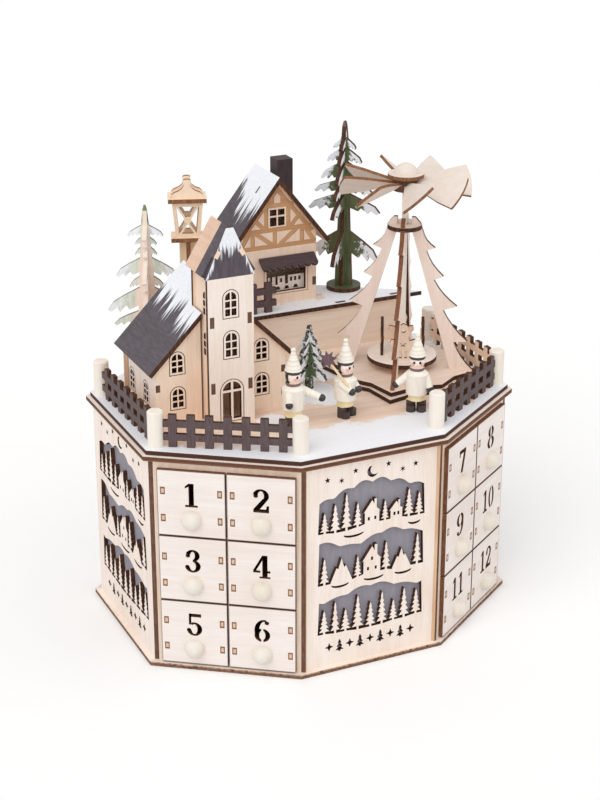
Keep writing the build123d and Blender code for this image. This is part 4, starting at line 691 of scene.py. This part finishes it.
# Church
c, n = polygons("tower_walls")
off = np.abs(c[:, 0] - TOWER_X)
flat = (np.abs(n[:, 0]) > 0.99) & (near(off, TOWER_HALF) | near(off, TOWER_HALF - PLY))
front = near(c[:, 1], TOWER_FRONT) & (n[:, 1] < -0.99)
keys = front & near(off, TOWER_HALF - PLY / 2, PLY / 2) & level_with(c, GROUND, TOWER_KEYS, KEY_HALF)
planes = near(c[:, 1], TOWER_BACK) | near(c[:, 1], TOWER_BACK - PLY) | near(c[:, 1], TOWER_FRONT + PLY)
rear = (np.abs(n[:, 1]) > 0.99) & planes
dress("tower_walls", char, (tan, flat | rear), (pale, front), (strip, keys))
c, n = polygons("tower_roof")
slope = (n[:, 2] > 0.4) & (np.abs(n[:, 0]) > 0.4)
gable = near(c[:, 1], TOWER_FRONT) & (n[:, 1] < -0.99)
off = np.abs(c[:, 0] - TOWER_X)
tab_z = GABLE_Z + GABLE_RISE - GABLE_SLOPE * GABLE_TAB - PLY / 2 * math.hypot(1, GABLE_SLOPE)
tabs = gable & (np.hypot(off - GABLE_TAB, (c[:, 2] - tab_z) * GABLE_TAB_FLAT) < GABLE_TAB_R)
under = (n[:, 2] < -0.4) | (np.abs(n[:, 1]) > 0.9)
dress("tower_roof", char, (dark_flat, under), (tower_slope, slope), (gable_snow, gable), (tan, tabs))

c, n = polygons("nave_walls")
off = np.abs(c[:, 0] - NAVE_X)
front = (near(c[:, 1], NAVE_FRONT) & (n[:, 1] < -0.99)) | (near(c[:, 1], NAVE_BACK) & (n[:, 1] > 0.99))
behind = (np.abs(n[:, 1]) > 0.99) & (near(c[:, 1], NAVE_FRONT + PLY) | near(c[:, 1], NAVE_BACK - PLY))
side = (np.abs(n[:, 0]) > 0.99) & (near(off, NAVE_HALF) | near(off, NAVE_HALF - PLY))
tabs = front & near(off, NAVE_HALF - PLY / 2, PLY / 2) & level_with(c, GROUND, NAVE_TABS, NAVE_TAB_HALF)
# Nave front and back in the tan ply brightened as painted light, sides with painted shade at the rear
dress("nave_walls", char, (tan_painted_light, front | behind), (nave_side, side), (strip, tabs))
c, n = polygons("nave_roof")
dress("nave_roof", char, (inner, n[:, 2] < -0.5), (nave_roof, n[:, 2] > 0.5))

# House
c, n = polygons("house_walls")
off = np.abs(c[:, 0] - HOUSE_X)
front = near(c[:, 1], HOUSE_FRONT) & (n[:, 1] < -0.99)
grooves = near(c[:, 1], HOUSE_FRONT + GROOVE) & (n[:, 1] < -0.99)
planes = near(c[:, 1], HOUSE_FRONT + PLY) | near(c[:, 1], HOUSE_BACK - PLY) | near(c[:, 1], HOUSE_BACK)
plain = (np.abs(n[:, 1]) > 0.99) & planes
side = (np.abs(n[:, 0]) > 0.99) & (near(off, HOUSE_HALF) | near(off, HOUSE_HALF - PLY))
shallow = (c[:, 1] < HOUSE_FRONT + GROOVE + 0.02) & (c[:, 1] > HOUSE_FRONT) & (np.abs(n[:, 1]) < 0.5)
tabs = front & (off > HOUSE_HALF - PLY - 0.1) & level_with(c, TERRACE_Z, (HOUSE_TAB_Z,), HOUSE_TAB_HALF)
dress("house_walls", char, (tan, plain | side), (house_front, front), (beam_tan, grooves),
      (char_soft, shallow), (strip, tabs))
c, n = polygons("house_roof")
dress("house_roof", char, (inner, n[:, 2] < -0.4), (house_roof, n[:, 2] > 0.4))
dress("house_chimney", chimney_paint)
c, n = polygons("stall_awning")
goods = c[:, 1] > GOODS_Y
dress("stall_awning", awning_paint, (char, goods), (pale, goods & (np.abs(n[:, 1]) > 0.99)))

# Lantern, in its own turned frame
turn = math.radians(-LANTERN_TURN)
spin = np.array(((math.cos(turn), -math.sin(turn), 0), (math.sin(turn), math.cos(turn), 0), (0, 0, 1)))
for name in ("lantern_post", "lantern_head"):
    c, n = polygons(name)
    p, m = (c - np.array((*LANTERN_AT, TERRACE_Z))) @ spin.T, n @ spin.T
    ax, ay, z = np.abs(p[:, 0]), np.abs(p[:, 1]), p[:, 2]
    low = z < LANTERN_LEVELS[0] + 0.05
    wide = near(ax, PLY / 2) & (np.abs(m[:, 0]) > 0.99)
    post = low & (wide | (near(ay, PLY / 2) & (np.abs(m[:, 1]) > 0.99)))
    plates = (np.abs(m[:, 2]) > 0.99) & np.any([near(z, level) for level in LANTERN_LEVELS], axis=0)
    within = LANTERN_DEEP - THIN
    depths = (within - PLY / 2, within, within + PLY / 2, LANTERN_DEEP)
    planes = np.any([near(ay, depth) for depth in depths], axis=0)
    boards = ~low & planes & (np.abs(m[:, 1]) > 0.99)
    flanks = ~low & (z < LANTERN_LEVELS[2]) & (ay < within + 0.02) & (np.abs(m[:, 0]) > 0.9)
    dress(name, char_soft, (lantern_wood, post | plates | boards | flanks))


# Faces of crossed boards: the two thickness planes of each
def board_faces(c, n, at, turns):
    hit = np.zeros(len(c), bool)
    for deg in turns:
        normal = unit(deg)
        off = np.abs((c - np.array((at[0], at[1], 0))) @ normal)
        hit |= near(off, PLY / 2) & (np.abs(n @ normal) > 0.99)
    return hit


c, n = polygons("tall_tree")
flat = board_faces(c, n, TALL_AT, (TALL_TURN, TALL_TURN + 90))
foot = near(c[:, 2], TERRACE_Z + PLY) & (n[:, 2] > 0.9)
dress("tall_tree", char, (tall_face, flat), (green_foot, foot))
c, n = polygons("small_tree")
dress("small_tree", small_edge, (small_face, board_faces(c, n, SMALL_AT, (SMALL_TURN, SMALL_TURN + 90))))
c, n = polygons("white_tree")
flat = board_faces(c, n, WHITE_AT, (WHITE_TURN, WHITE_TURN + 90))
front = np.abs((c - np.array((*WHITE_AT, 0))) @ unit(WHITE_TURN)) < PLY / 2 + 0.05
upward = front & (n[:, 2] > 0.05)
dress("white_tree", trunk_wood, (white_under, front), (white_edge, upward), (white_face, flat))

# Carolers: finishes by place on the figure, then eyes
for name, (at, facing, hands) in FIGURES.items():
    c, n = polygons(name)
    a = math.radians(90 - facing)
    back = np.array(((math.cos(a), -math.sin(a), 0), (math.sin(a), math.cos(a), 0), (0, 0, 1)))
    p = (c - np.array((at[0], at[1], GROUND))) @ back.T
    r, z = np.hypot(p[:, 0], p[:, 1]), p[:, 2]
    face = face_material(name + "_face", at, facing)
    gloves = np.zeros(len(c), bool)
    for hand in hands:
        gloves |= np.linalg.norm(p - np.array(hand), axis=1) < GLOVE_R + 0.03
    held = np.zeros(len(c), bool)
    plate = np.zeros(len(c), bool)
    if name == "caroler_middle":
        top, grip = np.array(STAR_AT), np.array(hands[1])
        way = (top - grip) / np.linalg.norm(top - grip)
        rel = p - grip
        off = np.linalg.norm(rel - np.outer(rel @ way, way), axis=1)
        held = (off < STICK_R + 0.03) & ((rel @ way) > GLOVE_R - 0.3)
        plate = np.linalg.norm(p - top, axis=1) < STAR_R + 0.2
    legs = (z > BOOT_H - 0.1) & (z < LEG_TOP) & (r < LEG_R)
    neck = (z > COAT_TOP - 0.01) & (z < NECK_TOP + 0.01) & (r < NECK_R)
    head = (z > NECK_TOP - 0.01) & (z < BRIM_Z + 0.02) & (r < HEAD_R + 0.1)
    band = (z > BRIM_Z - 0.01) & (z < HAT_Z + 0.01) & (r < BRIM_R)
    crown = (z > HAT_Z) & (r < HAT_R)
    dress(name, ivory, (boots, z < BOOT_H + 0.02), (trousers, legs), (scarf, neck), (face, head),
          (brim, band), (hat, crown), (stick_wood, held), (star_paint, plate), (glove, gloves))
    ahead, side = Vector(tuple(unit(facing))), Vector(tuple(unit(facing + 90)))
    bm = bmesh.new()
    for s in (-1, 1):
        aim = (ahead * EYE_AIM[0] + side * (EYE_AIM[1] * s) + Vector((0, 0, EYE_AIM[2]))).normalized()
        spot = Vector((at[0], at[1], GROUND + HEAD_Z)) + aim * (HEAD_R - EYE_SINK)
        rot = aim.to_track_quat("Z", "Y").to_matrix().to_4x4()
        shape = Matrix.Diagonal((*[size / 1000 for size in EYE_SIZE], 1))
        place = Matrix.Translation(spot / 1000) @ rot @ shape
        bmesh.ops.create_uvsphere(bm, u_segments=20, v_segments=12, radius=1.0, matrix=place)
    mesh = bpy.data.meshes.new(name + "_eyes")
    bm.to_mesh(mesh)
    bm.free()
    for poly in mesh.polygons:
        poly.use_smooth = True
    mesh.materials.append(bead)
    eyes = bpy.data.objects.new(name + "_eyes", mesh)
    bpy.context.scene.collection.objects.link(eyes)
    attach(eyes, "calendar")

# Pyramid
c, n = polygons("pyramid_base")
dress("pyramid_base", edge_star, (tan_flat, np.abs(n[:, 2]) > 0.9))
c, n = polygons("pyramid_legs")
flat = board_faces(c, n, PYR, (PYR_TURN - 90, PYR_TURN))
ahead = (c[:, :2] - np.array(PYR)) @ unit(PYR_TURN)[:2] > LEG_AHEAD
dress("pyramid_legs", char, (char_red, ahead & (np.abs(n @ unit(PYR_TURN - 90)) < 0.5)), (leg_wood, flat))
c, n = polygons("pyramid_top_plate")
dress("pyramid_top_plate", char, (pale_flat, np.abs(n[:, 2]) > 0.9))
c, n = polygons("rotor_spindle")
z = c[:, 2]
r = np.hypot(c[:, 0] - PYR[0], c[:, 1] - PYR[1])
cap1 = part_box("rotor_spindle")[1][2] * 1000 - DOME_RISE
cap0 = cap1 - HUB_CAP_H
hub = (z > cap0 - HUB_H - 0.01) & (z < cap0 + 0.01) & (r > SPINDLE_R + 0.05)
cap_rim = (z > cap0 + 0.01) & (z < cap1 - 0.01) & (r > CAP_RIM_R)
cap_flat = near(z, cap0) & (n[:, 2] < -0.9) & (r > CAP_FLAT_R)
dome = z > cap1 - 0.1
dress("rotor_spindle", post_wood, (hub_paint, hub), (char_soft, cap_rim), (blade_wood, dome | cap_flat))
c, n = polygons("rotor_turntable")
faces = np.zeros(len(c), bool)
for i in range(FIGURE_COUNT):
    normal = unit(PYR_TURN + FIGURE_PHASE + 360 / FIGURE_COUNT * i)
    rel = c - np.array((*PYR, 0)) - FIGURE_R * normal
    side = near(np.abs(rel @ normal), THIN / 2) & (np.abs(n @ normal) > 0.99)
    faces |= side & (np.hypot(rel[:, 0], rel[:, 1]) < FIGURE_REACH) & (c[:, 2] > TABLE_TOP - 0.1)
disc = (np.abs(n[:, 2]) > 0.99) & (c[:, 2] < TABLE_TOP + 0.1)
dress("rotor_turntable", char, (pale_flat, disc), (tan, faces))
c, n = polygons("rotor_blades")
faces = np.zeros(len(c), bool)
for i in range(BLADES):
    t = math.radians(BLADE_TILT)
    a = math.radians(PYR_TURN + BLADE_PHASE + 360 / BLADES * i)
    normal = np.array((math.sin(t) * math.cos(a), math.sin(t) * math.sin(a), math.cos(t)))
    faces |= np.abs(n @ normal) > 0.995
dress("rotor_blades", char_soft, (blade_wood, faces))


# Broad light from a direction seen from the middle, azimuth from the front
def sun(name, azimuth, elevation, strength, spread, color=(1, 1, 1)):
    lamp = bpy.data.lights.new(name, "SUN")
    lamp.angle = math.radians(spread)
    lamp.energy = strength
    lamp.color = color
    obj = bpy.data.objects.new(name, lamp)
    a, e = math.radians(azimuth), math.radians(elevation)
    way = Vector((math.sin(a) * math.cos(e), -math.cos(a) * math.cos(e), math.sin(e)))
    obj.location = way * 2
    obj.rotation_euler = (-way).to_track_quat("-Z", "Y").to_euler()
    bpy.context.scene.collection.objects.link(obj)


sun("key", azimuth=-52, elevation=48, strength=1.1, spread=50, color=(1.0, 0.985, 0.965))
sun("fill", azimuth=50, elevation=38, strength=0.34, spread=70)

# Sky: white where it is seen or mirrored, softer as light
SKY_SEEN, SKY_LIGHT = 1.0, 0.72
world = bpy.data.worlds.new("studio")
bpy.context.scene.world = world
world.use_nodes = True
wt = world.node_tree
soft = wt.nodes["Background"]
soft.inputs[0].default_value = (1.0, 1.0, 1.0, 1.0)
soft.inputs[1].default_value = SKY_LIGHT
white = wt.nodes.new("ShaderNodeBackground")
white.inputs[0].default_value = (1.0, 1.0, 1.0, 1.0)
white.inputs[1].default_value = SKY_SEEN
path = wt.nodes.new("ShaderNodeLightPath")
seen = wt.nodes.new("ShaderNodeMath")
seen.operation = "MAXIMUM"
seen2 = wt.nodes.new("ShaderNodeMath")
seen2.operation = "MAXIMUM"
blend = wt.nodes.new("ShaderNodeMixShader")
wt.links.new(path.outputs["Is Camera Ray"], seen.inputs[0])
wt.links.new(path.outputs["Is Glossy Ray"], seen.inputs[1])
wt.links.new(seen.outputs[0], seen2.inputs[0])
wt.links.new(path.outputs["Is Transmission Ray"], seen2.inputs[1])
wt.links.new(seen2.outputs[0], blend.inputs[0])
wt.links.new(soft.outputs[0], blend.inputs[1])
wt.links.new(white.outputs[0], blend.inputs[2])
wt.links.new(blend.outputs[0], wt.nodes["World Output"].inputs[0])

# Floor: pale, with a faint glow for the camera
FLOOR_HALF, FLOOR_GLOW = 6, 0.1
floor_mesh = bpy.data.meshes.new("floor")
corners = [(x * FLOOR_HALF, y * FLOOR_HALF, 0) for x, y in ((-1, -1), (1, -1), (1, 1), (-1, 1))]
floor_mesh.from_pydata(corners, [], [(0, 1, 2, 3)])
floor = bpy.data.objects.new("floor", floor_mesh)
bpy.context.scene.collection.objects.link(floor)
fg = Graph("floor_pale", 0.9, 0.1)
fg.done(fg.mix(fg.noise(fg.p, 0.004, 2.0), (0.86, 0.86, 0.86, 1), (0.9, 0.9, 0.9, 1)))
glow = fg.tree.nodes.new("ShaderNodeEmission")
glow.inputs[1].default_value = FLOOR_GLOW
lp = fg.tree.nodes.new("ShaderNodeLightPath")
dim = fg.tree.nodes.new("ShaderNodeMixShader")
plus = fg.tree.nodes.new("ShaderNodeAddShader")
fg.tree.links.new(fg.bsdf.outputs[0], plus.inputs[0])
fg.tree.links.new(glow.outputs[0], plus.inputs[1])
fg.tree.links.new(lp.outputs["Is Camera Ray"], dim.inputs[0])
fg.tree.links.new(fg.bsdf.outputs[0], dim.inputs[1])
fg.tree.links.new(plus.outputs[0], dim.inputs[2])
fg.tree.links.new(dim.outputs[0], fg.tree.nodes["Material Output"].inputs[0])
floor_mesh.materials.append(fg.mat)

# Camera fitted to the photo: focal length in its pixels, then angles in degrees and metres
SENSOR, FOCAL_PX, LONG_SIDE_PX = 36.0, 1781.6, 800
CAMERA_AZ, CAMERA_EL, CAMERA_AWAY, AIM_Z = -24.96, 22.49, 1.21815, 0.14504
camera = bpy.data.cameras.new("photo_camera")
camera.sensor_width = SENSOR
camera.lens = FOCAL_PX / LONG_SIDE_PX * SENSOR
camera.clip_end = 50.0
eye = bpy.data.objects.new("photo_camera", camera)
az, el = math.radians(CAMERA_AZ), math.radians(CAMERA_EL)
look = Vector((math.sin(az) * math.cos(el), -math.cos(az) * math.cos(el), math.sin(el)))
eye.location = Vector((0, 0, AIM_Z)) + look * CAMERA_AWAY
eye.rotation_euler = (-look).to_track_quat("-Z", "Y").to_euler()
bpy.context.scene.collection.objects.link(eye)
bpy.context.scene.camera = eye
bpy.context.scene.view_settings.view_transform = "Standard"
